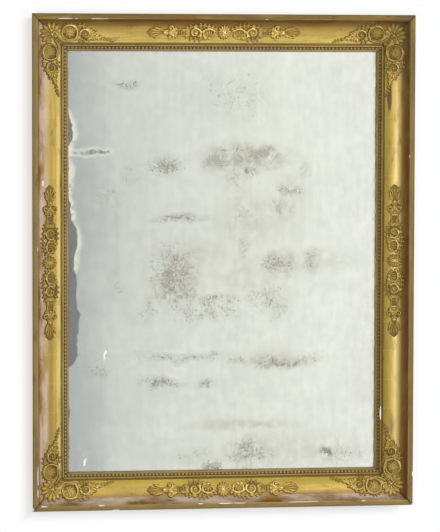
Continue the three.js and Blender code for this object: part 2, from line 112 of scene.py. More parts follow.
class Finish:
    """A material, or the world, that is put together from nodes. It starts at a piece's Object coordinates."""

    def __init__(self, name, kind=bpy.data.materials):
        self.material = kind.new(name)
        self.material.use_nodes = True
        self.tree = self.material.node_tree
        self.tree.nodes.clear()
        self.place = self.node("ShaderNodeTexCoord")[3]

    def node(self, kind, settings=None, inputs=None):
        node = self.tree.nodes.new(kind)
        for name, value in (settings or {}).items():
            if name == "stops":
                for index, (position, color) in enumerate(value):
                    stop = node.color_ramp.elements[index] if index < 2 else node.color_ramp.elements.new(1)
                    stop.position = position
                    stop.color = (*color, 1)
            else:
                setattr(node, name, value)
        for name, value in (inputs or {}).items():
            socket = node.inputs[name]
            if isinstance(value, Wire):
                self.tree.links.new(value.socket, socket)
            elif socket.type == "RGBA":
                socket.default_value = (*value, 1)
            else:
                socket.default_value = value
        return [Wire(self, output) for output in node.outputs]

    def axes(self):
        return self.node("ShaderNodeSeparateXYZ", None, {0: self.place})

    def stretched(self, scale, shift=(0, 0, 0), place=None, turn=(0, 0, 0)):
        inputs = {"Vector": place or self.place, "Location": shift, "Scale": scale, "Rotation": turn}
        return self.node("ShaderNodeMapping", None, inputs)[0]

    def ragged(self, scale, reach, place=None):
        """The place, pushed about by a noise, for edges that aren't smooth."""
        place = place or self.place
        push = self.node("ShaderNodeTexNoise", None, {"Vector": place, "Scale": scale, "Detail": 4})[1]
        settings = {"operation": "MULTIPLY_ADD"}
        inputs = {0: push, 1: (2 * reach, 2 * reach, 2 * reach), 2: (-reach, -reach, -reach)}
        moved = self.node("ShaderNodeVectorMath", settings, inputs)[0]
        return self.node("ShaderNodeVectorMath", {"operation": "ADD"}, {0: place, 1: moved})[0]

    def spot(self, centre, halves, soft=0.6, place=None):
        """1 in the middle of an upright oval, and 0 beyond its edge."""
        (x, z), (wide, high) = centre, halves
        local = self.stretched((1 / wide, 0, 1 / high), (-x / wide, 0, -z / high), place)
        reach = self.node("ShaderNodeVectorMath", {"operation": "LENGTH"}, {0: local})[1]
        return 1 - self.rise(reach, 1 - soft, 1)

    def noise(self, scale, detail=3, roughness=0.55, place=None, distortion=0):
        inputs = {"Vector": place or self.place, "Scale": scale, "Detail": detail}
        inputs.update({"Roughness": roughness, "Distortion": distortion})
        return self.node("ShaderNodeTexNoise", None, inputs)[0]

    def grain(self, place, scale, detail, roughness, shift=(0, 0, 0), turn=(0, 0, 0)):
        """A noise that is drawn out along the axes of a place."""
        return self.noise(1, detail, roughness, self.stretched(scale, shift, place, turn))

    def rise(self, value, start, end):
        inputs = {0: value, 1: start, 2: end}
        return self.node("ShaderNodeMapRange", {"interpolation_type": "SMOOTHSTEP"}, inputs)[0]

    def band(self, value, start, end, soft):
        return self.rise(value, start - soft, start + soft) * (1 - self.rise(value, end - soft, end + soft))

    def mix(self, share, first, second, blend="MIX"):
        settings = {"data_type": "RGBA", "blend_type": blend}
        return self.node("ShaderNodeMix", settings, {0: share, 6: first, 7: second})[2]

    def tint(self, share, color):
        """Lays a colour over the finish's colours, where the share says."""
        self.colors = self.mix(share, self.colors, color)

    def shade(self, tone):
        """Darkens the finish's colours by a tone."""
        grey = self.node("ShaderNodeCombineColor", None, {0: tone, 1: tone, 2: tone})[0]
        self.colors = self.mix(1.0, self.colors, grey, "MULTIPLY")

    def ramp(self, value, stops):
        return self.node("ShaderNodeValToRGB", {"stops": stops}, {0: value})[0]

    def bump(self, height, distance, strength):
        return self.node("ShaderNodeBump", None, {"Height": height, "Distance": distance, "Strength": strength})[0]

    def surface(self, shader):
        self.node("ShaderNodeOutputMaterial", None, {0: shader})

    def principled(self, **inputs):
        named = {name.replace("_", " "): value for name, value in inputs.items()}
        named["Base Color"] = self.colors
        self.surface(self.node("ShaderNodeBsdfPrincipled", None, named)[0])


WALL_GLOW = 0.35
SHADOW_REACH = 0.04
SHADOW_FALL = 0.01
WALL_GAP = 0.002
WALL_SIZE = 9
FLOOR_DROP = 0.45
FLOOR_SIZE = 5


def rays_that_see(finish):
    """1 for the camera's rays, and for those that metal and glass send on."""
    path = finish.node("ShaderNodeLightPath")
    return (path[0] + path[3] + path[6]).math("MINIMUM", 1)


def backdrop_paint(name, glow_near, glow_far):
    """White paint that also glows, for the eye only. It lets lamplight by, and is clear from behind."""
    paint = Finish(name)
    across, up, _ = paint.axes()
    # The glow is weaker near the mirror, and reaches a little further below it, so that the lamps' shadow shows
    # only close to the frame: painted light that trims the shadow on the wall.
    beside = (abs(across) - half_width).math("MAXIMUM", abs(up + SHADOW_FALL) - half_height)
    glow = glow_near + (glow_far - glow_near) * paint.rise(beside, -SHADOW_REACH / 3, SHADOW_REACH)
    seen = rays_that_see(paint)
    behind = paint.node("ShaderNodeNewGeometry")[6]
    lit = paint.node("ShaderNodeBsdfDiffuse", None, {0: (1, 1, 1)})[0]
    glowing = paint.node("ShaderNodeEmission", None, {0: (1, 1, 1), 1: 1})[0]
    white = paint.node("ShaderNodeMixShader", None, {0: glow, 1: lit, 2: glowing})[0]
    clear = paint.node("ShaderNodeBsdfTransparent")[0]
    shown = seen * (1 - behind)
    paint.surface(paint.node("ShaderNodeMixShader", None, {0: shown, 1: clear, 2: white})[0])
    return paint.material


bpy.ops.mesh.primitive_plane_add(size=WALL_SIZE, location=(0, back + WALL_GAP, 0), rotation=(math.pi / 2, 0, 0))
wall = bpy.context.object
wall.name = "white_wall"
wall.data.materials.append(backdrop_paint("wall_white", WALL_GLOW, 1))

bpy.ops.mesh.primitive_plane_add(size=FLOOR_SIZE, location=(0, 0, bottom - FLOOR_DROP))
floor = bpy.context.object
floor.name = "pale_floor"
floor.data.materials.append(backdrop_paint("floor_white", WALL_GLOW, WALL_GLOW))


def lamp(name, place, size, power, tint):
    bpy.ops.object.light_add(type="AREA", location=place)
    light = bpy.context.object
    light.name = name
    light.rotation_euler = (-Vector(place)).to_track_quat("-Z", "Y").to_euler()
    light.data.size = size
    light.data.energy = power
    light.data.color = tint


lamp("key_lamp", (3.0, -4.3, 2.0), 1.5, 118, (1.0, 0.98, 0.95))
lamp("side_lamp", (4.2, -2.2, 0.6), 2.0, 56, (1.0, 0.98, 0.95))
lamp("low_lamp", (-1.5, -4.2, -0.2), 0.8, 40, (1.0, 0.99, 0.96))
lamp("rear_lamp", (-1.5, 3.2, 2.0), 2.0, 70, (1.0, 1.0, 1.0))

ROOM_LIGHT = 0.42
room = Finish("studio", bpy.data.worlds)
bpy.context.scene.world = room.material
brightness = ROOM_LIGHT + (1 - ROOM_LIGHT) * rays_that_see(room)
sky = room.node("ShaderNodeBackground", None, {0: (1, 1, 1), 1: brightness})[0]
room.node("ShaderNodeOutputWorld", None, {0: sky})

# ---- The moulding ------------------------------------------------------------------------------------------
# Four lengths of softwood are run to one section, mitred, and gilded over gesso and red bole. The outer side
# slopes in to the wall. The band is rubbed by hands, and old gesso shows where its edge is chipped.
MM = 0.001
SECTION = {
    "undercut": 0.009,
    "undercut_start": 0.0075,
    "band": 0.0155,
    "band_round": 0.0025,
    "step": 0.003,
    "step_drop": 0.005,
    "cove": 0.0625,
    "cove_floor": 0.024,
    "quirk": 0.005,
    "quirk_drop": 0.0025,
    "fillet": 0.005,
    "fillet_rise": 0.0025,
    "bed": 0.0075,
    "bed_drop": 0.0035,
    "lip": 0.0065,
    "lip_rise": 0.0015,
    "lip_round": 0.0025,
    "rebate": 0.012,
    "rebate_depth": 0.0155,
}
rail_low, rail_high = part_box("top_rail")
wood_back = rail_high.y
wood_depth = rail_high.y - rail_low.y
rail_width = rail_high.z - rail_low.z
COVE_START = SECTION["band"] + SECTION["step"]
COVE_END = COVE_START + SECTION["cove"]
FILLET_START = COVE_END + SECTION["quirk"]
FILLET_END = FILLET_START + SECTION["fillet"]
COVE_TOP = wood_depth - SECTION["step_drop"]
COVE_FACETS = 28
FILLET_FACETS = 8
ROUND_FACETS = 5
CUTS_ALONG = 60
ARRIS = 0.0008
MITRE_GAP = 0.0001
BISECT_GRAIN = 0.000001
SAME_PLACE = 0.00001


def deselect():
    bpy.ops.object.select_all(action="DESELECT")


def take(piece):
    """Makes a piece the only selected and the active one."""
    deselect()
    piece.select_set(True)
    bpy.context.view_layer.objects.active = piece
    return piece


def begin(add_primitive, **settings):
    """Starts a piece from a primitive at the origin, alone and in edit mode."""
    deselect()
    add_primitive(location=(0, 0, 0), **settings)
    bpy.ops.object.mode_set(mode="EDIT")
    return bpy.context.object


def pick(piece, kind, wanted):
    """Selects the vertices, edges or faces that a test wants, in edit mode."""
    bpy.ops.mesh.select_mode(type={"vertices": "VERT", "edges": "EDGE", "polygons": "FACE"}[kind])
    bpy.ops.mesh.select_all(action="DESELECT")
    bpy.ops.object.mode_set(mode="OBJECT")
    for element in getattr(piece.data, kind):
        element.select = wanted(element)
    bpy.ops.object.mode_set(mode="EDIT")


class Pen:
    """Draws an outline in edit mode, from one vertex, with lines and with arcs about an axis."""

    def __init__(self, name, start, axis=(1, 0, 0)):
        self.piece = begin(bpy.ops.mesh.primitive_plane_add, size=0.01)
        self.piece.name = name
        self.axis = Vector(axis)
        self.tip = Vector(start)
        bpy.ops.mesh.select_mode(type="VERT")
        bpy.ops.mesh.merge(type="CENTER")
        bpy.ops.transform.translate(value=start)

    def line(self, target):
        bpy.ops.mesh.extrude_region_move(TRANSFORM_OT_translate={"value": Vector(target) - self.tip})
        self.tip = Vector(target)

    def turn(self, centre, degrees, steps):
        """An arc, clockwise as seen against the axis."""
        centre = Vector(centre)
        bpy.ops.mesh.spin(steps=steps, angle=math.radians(degrees), center=centre, axis=self.axis)
        self.tip = centre + Matrix.Rotation(math.radians(-degrees), 3, self.axis) @ (self.tip - centre)

    def fill(self):
        bpy.ops.mesh.select_all(action="SELECT")
        bpy.ops.mesh.edge_face_add()


def section_point(inward, deep):
    return Vector((0, wood_back - deep, -inward))


def drawn_section(name):
    """The moulding's section, filled. Its outer front edge is over the X axis."""
    sizes = SECTION
    lip_start = FILLET_END + sizes["bed"]
    floor = sizes["cove_floor"]
    bed = floor - sizes["bed_drop"]
    edge = sizes["band_round"]
    arris = sizes["band"] - ARRIS
    pen = Pen(name, section_point(sizes["undercut"], 0))
    pen.line(section_point(0, wood_depth - sizes["undercut_start"]))
    pen.line(section_point(0, wood_depth - edge))
    pen.turn(section_point(edge, wood_depth - edge), -90, ROUND_FACETS)
    pen.line(section_point(arris, wood_depth))
    pen.turn(section_point(arris, wood_depth - ARRIS), -90, 3)
    pen.line(section_point(sizes["band"], COVE_TOP + ARRIS))
    pen.turn(section_point(sizes["band"] + ARRIS, COVE_TOP + ARRIS), 90, 2)
    pen.line(section_point(COVE_START, COVE_TOP))
    pen.turn(section_point(COVE_END, COVE_TOP), 90, COVE_FACETS)
    # The quarter circle of the cove is squashed to a quarter of an ellipse, which ends at the cove's floor.
    pick(pen.piece, "vertices", lambda vertex: vertex.co.z < -COVE_START - SAME_PLACE)
    squash = (COVE_TOP - floor) / sizes["cove"]
    bpy.ops.transform.resize(value=(1, squash, 1), center_override=section_point(COVE_END, COVE_TOP))
    pen.tip = section_point(COVE_END, floor)
    pick(pen.piece, "vertices", lambda vertex: (vertex.co - pen.tip).length < SAME_PLACE)
    pen.line(section_point(COVE_END, floor - sizes["quirk_drop"]))
    pen.line(section_point(FILLET_START, floor - sizes["quirk_drop"]))
    pen.line(section_point(FILLET_START, floor))
    pen.turn(section_point((FILLET_START + FILLET_END) / 2, floor), -180, FILLET_FACETS)
    pen.line(section_point(FILLET_END, bed))
    pen.line(section_point(lip_start, bed))
    pen.line(section_point(lip_start, bed + sizes["lip_rise"]))
    round_start = rail_width - sizes["lip_round"]
    pen.line(section_point(round_start, bed + sizes["lip_rise"]))
    pen.turn(section_point(round_start, bed + sizes["lip_rise"] - sizes["lip_round"]), -90, ROUND_FACETS)
    pen.line(section_point(rail_width, sizes["rebate_depth"]))
    pen.line(section_point(rail_width - sizes["rebate"], sizes["rebate_depth"]))
    pen.line(section_point(rail_width - sizes["rebate"], 0))
    pen.fill()
    return pen.piece


def run_moulding(name, length):
    """One length of the moulding, laid along X with its outer edge on the X axis, and mitred at both ends."""
    piece = drawn_section(name)
    bpy.ops.transform.translate(value=(-length / 2, 0, 0))
    bpy.ops.mesh.extrude_region_move(TRANSFORM_OT_translate={"value": (length, 0, 0)})
    bpy.ops.mesh.select_all(action="SELECT")
    bpy.ops.mesh.normals_make_consistent(inside=False)

    def runs_along(edge):
        start, end = (piece.data.vertices[index].co for index in edge.vertices)
        return abs(start.x - end.x) > length / 2

    pick(piece, "edges", runs_along)
    bpy.ops.mesh.subdivide(number_cuts=CUTS_ALONG)
    for end in (-1, 1):
        bpy.ops.mesh.select_all(action="SELECT")
        corner = (end * (length / 2 - MITRE_GAP), 0, 0)
        bpy.ops.mesh.bisect(
            plane_co=corner, plane_no=(end, 0, -1), use_fill=True, clear_outer=True, threshold=BISECT_GRAIN)
    bpy.ops.object.mode_set(mode="OBJECT")
    return piece


def own_copy(piece, name, matrix):
    """A copy with its own mesh, moved or turned or mirrored by a matrix."""
    twin = piece.copy()
    twin.data = piece.data.copy()
    twin.name = name
    bpy.context.collection.objects.link(twin)
    twin.data.transform(matrix)
    if matrix.determinant() < 0:
        twin.data.flip_normals()
    return twin


def applied(piece, kind, **settings):
    """Adds a modifier to a piece, sets it and applies it."""
    take(piece)
    modifier = piece.modifiers.new(kind.lower(), kind)
    for name, value in settings.items():
        setattr(modifier, name, value)
    bpy.ops.object.modifier_apply(modifier=modifier.name)
    return piece


def join(pieces):
    take(pieces[0])
    for piece in pieces:
        piece.select_set(True)
    bpy.ops.object.join()
    return bpy.context.object


SIDE_PLACES = {
    "top": Matrix.Translation((0, 0, half_height)),
    "right": Matrix.Translation((half_width, 0, 0)) @ Matrix.Rotation(math.pi / 2, 4, "Y"),
    "bottom": Matrix.Translation((0, 0, -half_height)) @ Matrix.Rotation(math.pi, 4, "Y"),
    "left": Matrix.Translation((-half_width, 0, 0)) @ Matrix.Rotation(3 * math.pi / 2, 4, "Y"),
}
RAILS = ("top", "bottom")
plain_rail = run_moulding("plain_rail", 2 * half_width)
plain_stile = run_moulding("plain_stile", 2 * half_height)
mouldings = {}
for side, place in SIDE_PLACES.items():
    member = "rail" if side in RAILS else "stile"
    piece = own_copy(plain_rail if member == "rail" else plain_stile, f"{side}_{member}_gilded", place)
    mouldings[side] = piece
    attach(piece, "frame")
    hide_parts(f"{side}_{member}")
for pattern in (plain_rail, plain_stile):
    bpy.data.objects.remove(pattern)


SIDE_NUMBERS = {"top": 7, "bottom": -7, "right": 3, "left": -3}


def moulding_place(finish):
    """How far in from the outer edge, how far past the mitre, a place that runs along each side, and its mask."""
    x, _, z = finish.axes()
    across, down = half_width - abs(x), half_height - abs(z)
    past_mitre = across - down
    on_rail = past_mitre.math("GREATER_THAN", 0)
    along = x * on_rail + z * (1 - on_rail)
    upright = z.math("SIGN") * on_rail * SIDE_NUMBERS["top"]
    which = upright + x.math("SIGN") * (1 - on_rail) * SIDE_NUMBERS["right"]
    inward = across.math("MINIMUM", down)
    strip = finish.node("ShaderNodeCombineXYZ", None, {0: along, 1: inward, 2: which})[0]
    return inward, past_mitre, strip, lambda side: which.math("COMPARE", SIDE_NUMBERS[side], 1)


def over_section(stops):
    """Ramp stops from places in millimetres across the moulding."""
    return [(place * MM / rail_width, color) for place, color in stops]


gilding = Finish("water_gilding")
inward, past_mitre, strip, on = moulding_place(gilding)
on_left, on_right, on_top, on_bottom = (on(side) for side in ("left", "right", "top", "bottom"))
share = inward / rail_width


def beyond(start, end):
    """Rises from 0 to 1 between two places in millimetres in from the outer edge."""
    return gilding.rise(inward, start * MM, end * MM)


def zone(start, end, soft):
    """1 between two places in millimetres in from the outer edge, and 0 elsewhere, with soft ends."""
    return gilding.band(inward, start * MM, end * MM, soft * MM)


# Across the section the colour is darkest in the step under the band, in the quirk and in the bed under
# the pearls, which is painted shade in these recesses. The band's inner arris and the fillet are painted
# highlights.
gilding.colors = gilding.ramp(share, over_section([
    (0.0, (0.13, 0.085, 0.03)), (1.5, (0.19, 0.125, 0.04)), (3.5, (0.27, 0.185, 0.055)),
    (12.0, (0.28, 0.19, 0.055)), (14.6, (0.40, 0.29, 0.10)), (15.6, (0.16, 0.09, 0.022)),
    (18.4, (0.12, 0.062, 0.014)),
    (20.0, (0.18, 0.095, 0.018)), (30.0, (0.28, 0.165, 0.03)), (38.0, (0.37, 0.24, 0.045)),
    (46.0, (0.42, 0.29, 0.052)), (60.0, (0.405, 0.295, 0.054)), (76.0, (0.40, 0.295, 0.058)),
    (80.5, (0.40, 0.30, 0.065)), (81.2, (0.17, 0.095, 0.018)), (85.8, (0.20, 0.115, 0.022)),
    (87.0, (0.36, 0.25, 0.065)), (90.0, (0.36, 0.255, 0.07)), (91.5, (0.12, 0.07, 0.018)),
    (98.0, (0.12, 0.07, 0.018)), (99.0, (0.28, 0.20, 0.07)), (105.0, (0.25, 0.18, 0.07)),
]))
cloud = gilding.grain(strip, (5, 16, 1), 5, 0.6)
patches = gilding.grain(strip, (14, 40, 1), 6, 0.65, (3, 1, 0))
streaks = gilding.grain(strip, (16, 620, 1), 3, 0.6, (1, 5, 0))
smears = gilding.grain(strip, (7, 110, 1), 5, 0.62, (4, 8, 0))
specks = gilding.grain(strip, (330, 330, 1), 3, 0.7, (7, 2, 0))
gilding.shade(0.20 + 0.72 * cloud + 0.30 * streaks + 0.56 * smears)
# The right cove is browner towards its quirk.
browner_right_cove = on_right * beyond(52, 83) * 0.62
gilding.tint(browner_right_cove, (0.15, 0.095, 0.018))
# The steep wall of the cove is reddened with bole all round, and more on the right and at the top, where
# it is painted shade on the sides that face away from the key lamp.
bole_and_shade = (0.12 + 0.3 * on_right + 0.1 * on_top) * zone(15.5, 34, 3)
gilding.tint(bole_and_shade, (0.15, 0.055, 0.018))
# A painted highlight lies across the middle of the right cove. The flat of the top cove is made brighter
# in patches.
burnish_and_highlight = on_right * zone(34, 50, 6) * gilding.rise(smears, 0.2, 0.5) * 0.46
burnish_and_highlight = burnish_and_highlight + on_top * zone(56, 80, 6) * gilding.rise(smears, 0.3, 0.6) * 0.3
gilding.tint(burnish_and_highlight, (0.60, 0.46, 0.17))
# The middle of the left cove is painted darker, as painted shade.
painted_shade_left_cove = on_left * zone(41, 60, 5) * 0.62
gilding.tint(painted_shade_left_cove, (0.19, 0.115, 0.02))
# Towards its quirk the left cove is rubbed bright, and this is also a painted highlight.
wear_and_highlight = on_left * zone(70, 85, 3) * gilding.rise(smears, 0.28, 0.5) * 0.6
gilding.tint(wear_and_highlight, (0.62, 0.49, 0.20))
# The band is smeared darker at the top and on the right, and least on the bottom, and the gilding is darkest
# round the top right corner.
band_darkening = 0.22 + 0.38 * on_top + 0.22 * on_right - 0.1 * on_bottom
band_darkening = (1 - beyond(15, 16)) * band_darkening * gilding.rise(smears, 0.30, 0.56)
gilding.tint(band_darkening, (0.10, 0.062, 0.016))
soiled = gilding.spot((half_width, half_height - 0.04), (0.09, 0.26), 0.8, gilding.ragged(12, 0.02))
soiled = soiled * gilding.rise(smears + 0.3 * specks, 0.42, 0.72)
gilding.tint(soiled * 0.75, (0.095, 0.07, 0.03))
STEEP_END = 0.05
steep_half = gilding.rise(STEEP_END - inward, 0, 0.02)
bole = gilding.rise(patches, 0.54, 0.70) * (0.35 + 0.4 * steep_half)
gilding.tint(bole, (0.24, 0.105, 0.026))
olive = gilding.rise(gilding.grain(strip, (8, 24, 1), 5, 0.6, (2, 9, 0)), 0.5, 0.66)
gilding.tint(olive * 0.34, (0.27, 0.20, 0.045))
# Pale dust is painted in the steep part of the cove, thickly on the left stile and less on the bottom rail,
# the sides that face the key lamp: it is partly dust and partly a painted sheen.
dust_and_sheen_pattern = gilding.rise(gilding.grain(strip, (9, 30, 1), 5, 0.6, (9, 4, 0)), 0.34, 0.62)
dust_and_sheen = dust_and_sheen_pattern * zone(19.5, 45, 6) * (0.85 * on_left)
dust_and_sheen = dust_and_sheen + dust_and_sheen_pattern * zone(15.5, 34, 3) * 0.8 * on_bottom
gilding.tint(dust_and_sheen, (0.60, 0.49, 0.39))
# A leaf of gold is 83 mm square, and each leaf laps over the last.
LEAVES_PER_METRE = 12
along = gilding.node("ShaderNodeSeparateXYZ", None, {0: strip})[0]
laps = (along * LEAVES_PER_METRE + cloud * 0.2).math("FRACT")
gilding.tint((1 - gilding.rise(laps, 0.01, 0.03)) * zone(40, 83, 4) * 0.15, (0.72, 0.55, 0.20))
cells = {"Vector": gilding.stretched((7, 26, 1), place=gilding.ragged(30, 0.012, strip)), "Scale": 1}
crazing = gilding.node("ShaderNodeTexVoronoi", {"feature": "DISTANCE_TO_EDGE"}, cells)[0]
crack = (1 - gilding.rise(crazing, 0.002, 0.008)) * gilding.rise(patches, 0.46, 0.6)
gilding.tint(crack * 0.45, (0.09, 0.045, 0.015))
gilding.tint(gilding.rise(specks, 0.64, 0.72) * 0.7, (0.10, 0.06, 0.02))
mitre = 1 - gilding.rise(abs(past_mitre), 0.0006, 0.0030)
gilding.tint(mitre * 0.8, (0.05, 0.03, 0.012))
grime = (1 - gilding.rise(abs(past_mitre), 0, 0.018)) * 0.35
gilding.tint(grime, (0.14, 0.08, 0.03))
# A drip of dark shellac runs down the right stile from the end of its spray.
drip_place = (half_width - 0.068, half_height - 0.232)
drip = gilding.spot(drip_place, (0.0075, 0.050), 0.35, gilding.ragged(40, 0.006))
gilding.tint(drip * 0.85, (0.10, 0.05, 0.02))
metal = gilding.ramp(share, over_section([(place, (gleam,) * 3) for place, gleam in (
    (0, 0.1), (4, 0.3), (14, 0.4), (16, 0.1), (22, 0.15), (36, 0.35), (48, 0.75),
    (80, 0.75), (81.5, 0.0), (86, 0.0), (88, 0.5), (91.5, 0.0), (98, 0.0), (99.5, 0.4),
)]))
worn = gilding.rise(patches, 0.5, 0.75)
rough = 0.38 + 0.2 * steep_half + 0.22 * worn + 0.1 * streaks
relief = streaks * 0.15 + patches * 0.5 - crack * 0.8 - mitre
gilding.principled(
    Metallic=metal * (1 - 0.6 * worn) * (1 - drip) * (1 - mitre) * (1 - 0.85 * dust_and_sheen),
    Roughness=rough + 0.25 * dust_and_sheen,
    Specular_IOR_Level=0.25,
    Coat_Weight=zone(36, 62, 8) * 0.7 * (1 - dust_and_sheen),
    Coat_Roughness=0.3,
    Normal=gilding.bump(relief, 0.0006, 0.5),
)

# Where the gilding is lost, its gesso shows white. The back and the rebate are bare wood.
gesso = Finish("bare_gesso")
gesso.colors = gesso.ramp(gesso.noise(500, 4), [(0.3, (0.70, 0.65, 0.55)), (0.6, (0.90, 0.88, 0.83))])
gesso.principled(
    Roughness=0.85,
    Normal=gesso.bump(gesso.noise(900, 4), 0.0004, 0.6),
)


def pine(name, place_of, light, dark):
    """Old pine: grain along the place's first axis, some knots, and grime."""
    wood = Finish(name)
    place = place_of(wood)
    rings = {"Vector": wood.stretched((0.9, 22, 22), place=place), "Scale": 1.0, "Distortion": 9.0, "Detail": 4.0}
    wave = wood.node("ShaderNodeTexWave", {"bands_direction": "Y"}, rings)[1]
    growth = wood.grain(place, (2.2, 90, 90), 5, 0.7, (4, 2, 1))
    fibre = wood.grain(place, (12, 900, 900), 4, 0.65)
    wood.colors = wood.ramp(0.26 * wave + 0.44 * growth + 0.3 * fibre, [(0.3, dark), (0.68, light)])
    knots = {"Vector": wood.stretched((3.2, 8, 8), place=place), "Scale": 1.0}
    near = wood.node("ShaderNodeTexVoronoi", None, knots)[0]
    wood.tint(1 - wood.rise(near, 0.05, 0.16), (0.10, 0.045, 0.018))
    wood.shade(0.72 + 0.56 * wood.grain(place, (0.6, 3.9, 3.9), 2, 0.5, (1, 6, 2)))
    wood.tint(wood.rise(wood.noise(7, 8, 0.72), 0.44, 0.72) * 0.45, (0.14, 0.095, 0.058))
    height = fibre * 0.6 + growth * 0.5
    wood.principled(Roughness=0.72 + 0.15 * fibre, Normal=wood.bump(height, 0.0006, 0.6))
    return wood.material


bare_pine = pine("bare_pine", lambda wood: moulding_place(wood)[2], (0.47, 0.32, 0.17), (0.29, 0.17, 0.08))
CORNERS = {"top_right": (1, 1), "top_left": (-1, 1), "bottom_left": (-1, -1), "bottom_right": (1, -1)}
KEY_HALF_LENGTH = 0.026
KEY_HALF_END = 0.011
KEY_WAIST_SHARE = 6 / 11
KEY_EASE = 0.0003
KEY_PROUD = 0.0003
KEY_WEAR = 0.0004
key_wood = pine("key_wood", lambda wood: wood.stretched((1, 1, 1), turn=(0, math.pi / 4, 0)),
                (0.42, 0.25, 0.12), (0.26, 0.14, 0.06))


def mitre_key(corner, ease):
    """A double dovetail, let in across the mitre. Its pocket is cut by one that is eased a little."""
    low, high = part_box(f"{corner}_mitre_key")
    x, z = CORNERS[corner]
    key = begin(bpy.ops.mesh.primitive_cube_add, size=1)
    key.name = f"{corner}_dovetail_key"
    bpy.ops.transform.resize(value=(2 * (KEY_HALF_LENGTH + ease), high.y - low.y + KEY_PROUD + ease,
                                    2 * (KEY_HALF_END + ease)))
    pick(key, "edges", lambda edge: abs(sum(key.data.vertices[i].co.x for i in edge.vertices)) < SAME_PLACE)
    bpy.ops.mesh.subdivide(number_cuts=1)
    pick(key, "vertices", lambda vertex: abs(vertex.co.x) < SAME_PLACE)
    bpy.ops.transform.resize(value=(1, 1, KEY_WAIST_SHARE))
    if not ease:
        bpy.ops.mesh.select_all(action="SELECT")
        bpy.ops.mesh.bevel(offset=KEY_WEAR, segments=1)
    bpy.ops.object.mode_set(mode="OBJECT")
    centre = Vector(((low.x + high.x) / 2, (low.y + high.y + KEY_PROUD + ease) / 2, (low.z + high.z) / 2))
    key.data.transform(Matrix.Translation(centre) @ Matrix.Rotation(x * z * math.pi / 4, 4, "Y"))
    key.data.materials.append(key_wood)
    return key


for corner in CORNERS:
    key = mitre_key(corner, 0)
    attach(key, "frame")
    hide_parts(f"{corner}_mitre_key")

# Each chip is (side, along, inward, length, width), in millimetres, along growing to the right and up.
CHIPS = (
    ("top", -452, 15.2, 38, 3.6), ("top", -420, 15.4, 9, 2.4), ("top", -355, 15.2, 48, 2.4),
    ("top", 118, 15, 7, 2), ("left", 224, 31, 16, 9), ("left", -600, 15.2, 52, 3.4),
    ("left", -648, 15, 22, 3), ("left", 40, 15.3, 12, 1.8),
    ("bottom", -513, 15, 19, 4), ("bottom", -351, 15.2, 18, 3.6), ("bottom", -68, 15.2, 14, 3),
    ("bottom", 4, 15.2, 40, 3.4), ("bottom", 44, 15.2, 34, 2.6), ("bottom", 228, 15.3, 86, 2.0),
    ("bottom", -458, 95, 9, 6), ("bottom", 402, 15, 12, 3), ("right", -438, 88.4, 42, 3.6),
    ("right", 300, 15.2, 9, 2.2), ("right", -610, 1.0, 14, 3), ("left", -694, 1.2, 9, 4),
    ("bottom", -310, 1, 22, 2.6),
)
CHIP_DEPTH = 0.0026
CHIP_ROUGHNESS = 0.09
# How far a lump reaches to each side, as a share of its chip's length and width.
CHIP_LENGTH_SHARE = 0.54
CHIP_WIDTH_SHARE = 0.7


def surface_depth(inward):
    """How high the moulding's face stands over its back, near enough for a chip."""
    if inward < COVE_START:
        return wood_depth if inward < SECTION["band"] + ARRIS / 2 else COVE_TOP
    if inward > COVE_END:
        return SECTION["cove_floor"] + (SECTION["fillet_rise"] if inward < FILLET_END else 0)
    return cove_surface(inward)[0]


def cove_surface(inward):
    """The cove's height over the moulding's back, and its normal as (inward, forward)."""
    across = min(max((COVE_END - inward) / SECTION["cove"], 0), 0.99)
    fall = COVE_TOP - SECTION["cove_floor"]
    rest = math.sqrt(1 - across * across)
    normal = Vector((fall * across / (SECTION["cove"] * rest), 1)).normalized()
    return COVE_TOP - fall * rest, normal


def chip_cutter(number, side, along, inward, length, width):
    """A ragged lump that bites a chip out of the face. It lies on the side's own place."""
    cutter = begin(bpy.ops.mesh.primitive_ico_sphere_add, subdivisions=2, radius=1)
    bpy.ops.transform.vertex_random(offset=CHIP_ROUGHNESS, seed=number)
    reach = (length * CHIP_LENGTH_SHARE * MM, CHIP_DEPTH, width * CHIP_WIDTH_SHARE * MM)
    bpy.ops.transform.resize(value=reach, center_override=(0, 0, 0))
    bpy.ops.object.mode_set(mode="OBJECT")
    way = -1 if side in ("bottom", "right") else 1
    place = section_point(inward * MM, surface_depth(inward * MM)) + Vector((way * along * MM, 0, 0))
    cutter.data.transform(SIDE_PLACES[side] @ Matrix.Translation(place))
    cutter.data.materials.append(gesso.material)
    return cutter


# Three mitres have opened at their outer ends as the wood shrank: (corner, gap in millimetres).
OPEN_MITRES = (("bottom_right", 4.6), ("bottom_left", 3.0), ("top_right", 2.6))
OPEN_LENGTH = 0.082
OPEN_DEPTH = 0.012
OPEN_SLOPE = math.radians(22)
CLOSED_SHARE = 0.1
SMOOTH_ANGLE = math.radians(24)


def open_mitre(corner, gap):
    """A thin wedge along the mitre, from beyond the corner to where the gap closes under the palmette.

    Its foot slopes down with the cove, so that the wall doesn't show through the gap.
    """
    x, z = CORNERS[corner]
    wedge = begin(bpy.ops.mesh.primitive_cube_add, size=1)
    bpy.ops.transform.resize(value=(2 * OPEN_LENGTH, wood_depth, gap * MM))
    pick(wedge, "vertices", lambda vertex: vertex.co.x < 0)
    bpy.ops.transform.resize(value=(1, 1, CLOSED_SHARE))
    bpy.ops.object.mode_set(mode="OBJECT")
    forward = wood_back - wood_depth + OPEN_DEPTH - wood_depth / 2 / math.cos(OPEN_SLOPE)
    place = Matrix.Translation((x * half_width, forward, z * half_height))
    heading = Matrix.Rotation(-math.atan2(z, x), 4, "Y")
    wedge.data.transform(place @ heading @ Matrix.Rotation(-OPEN_SLOPE, 4, "Z"))
    wedge.data.materials.append(bare_pine)
    return wedge


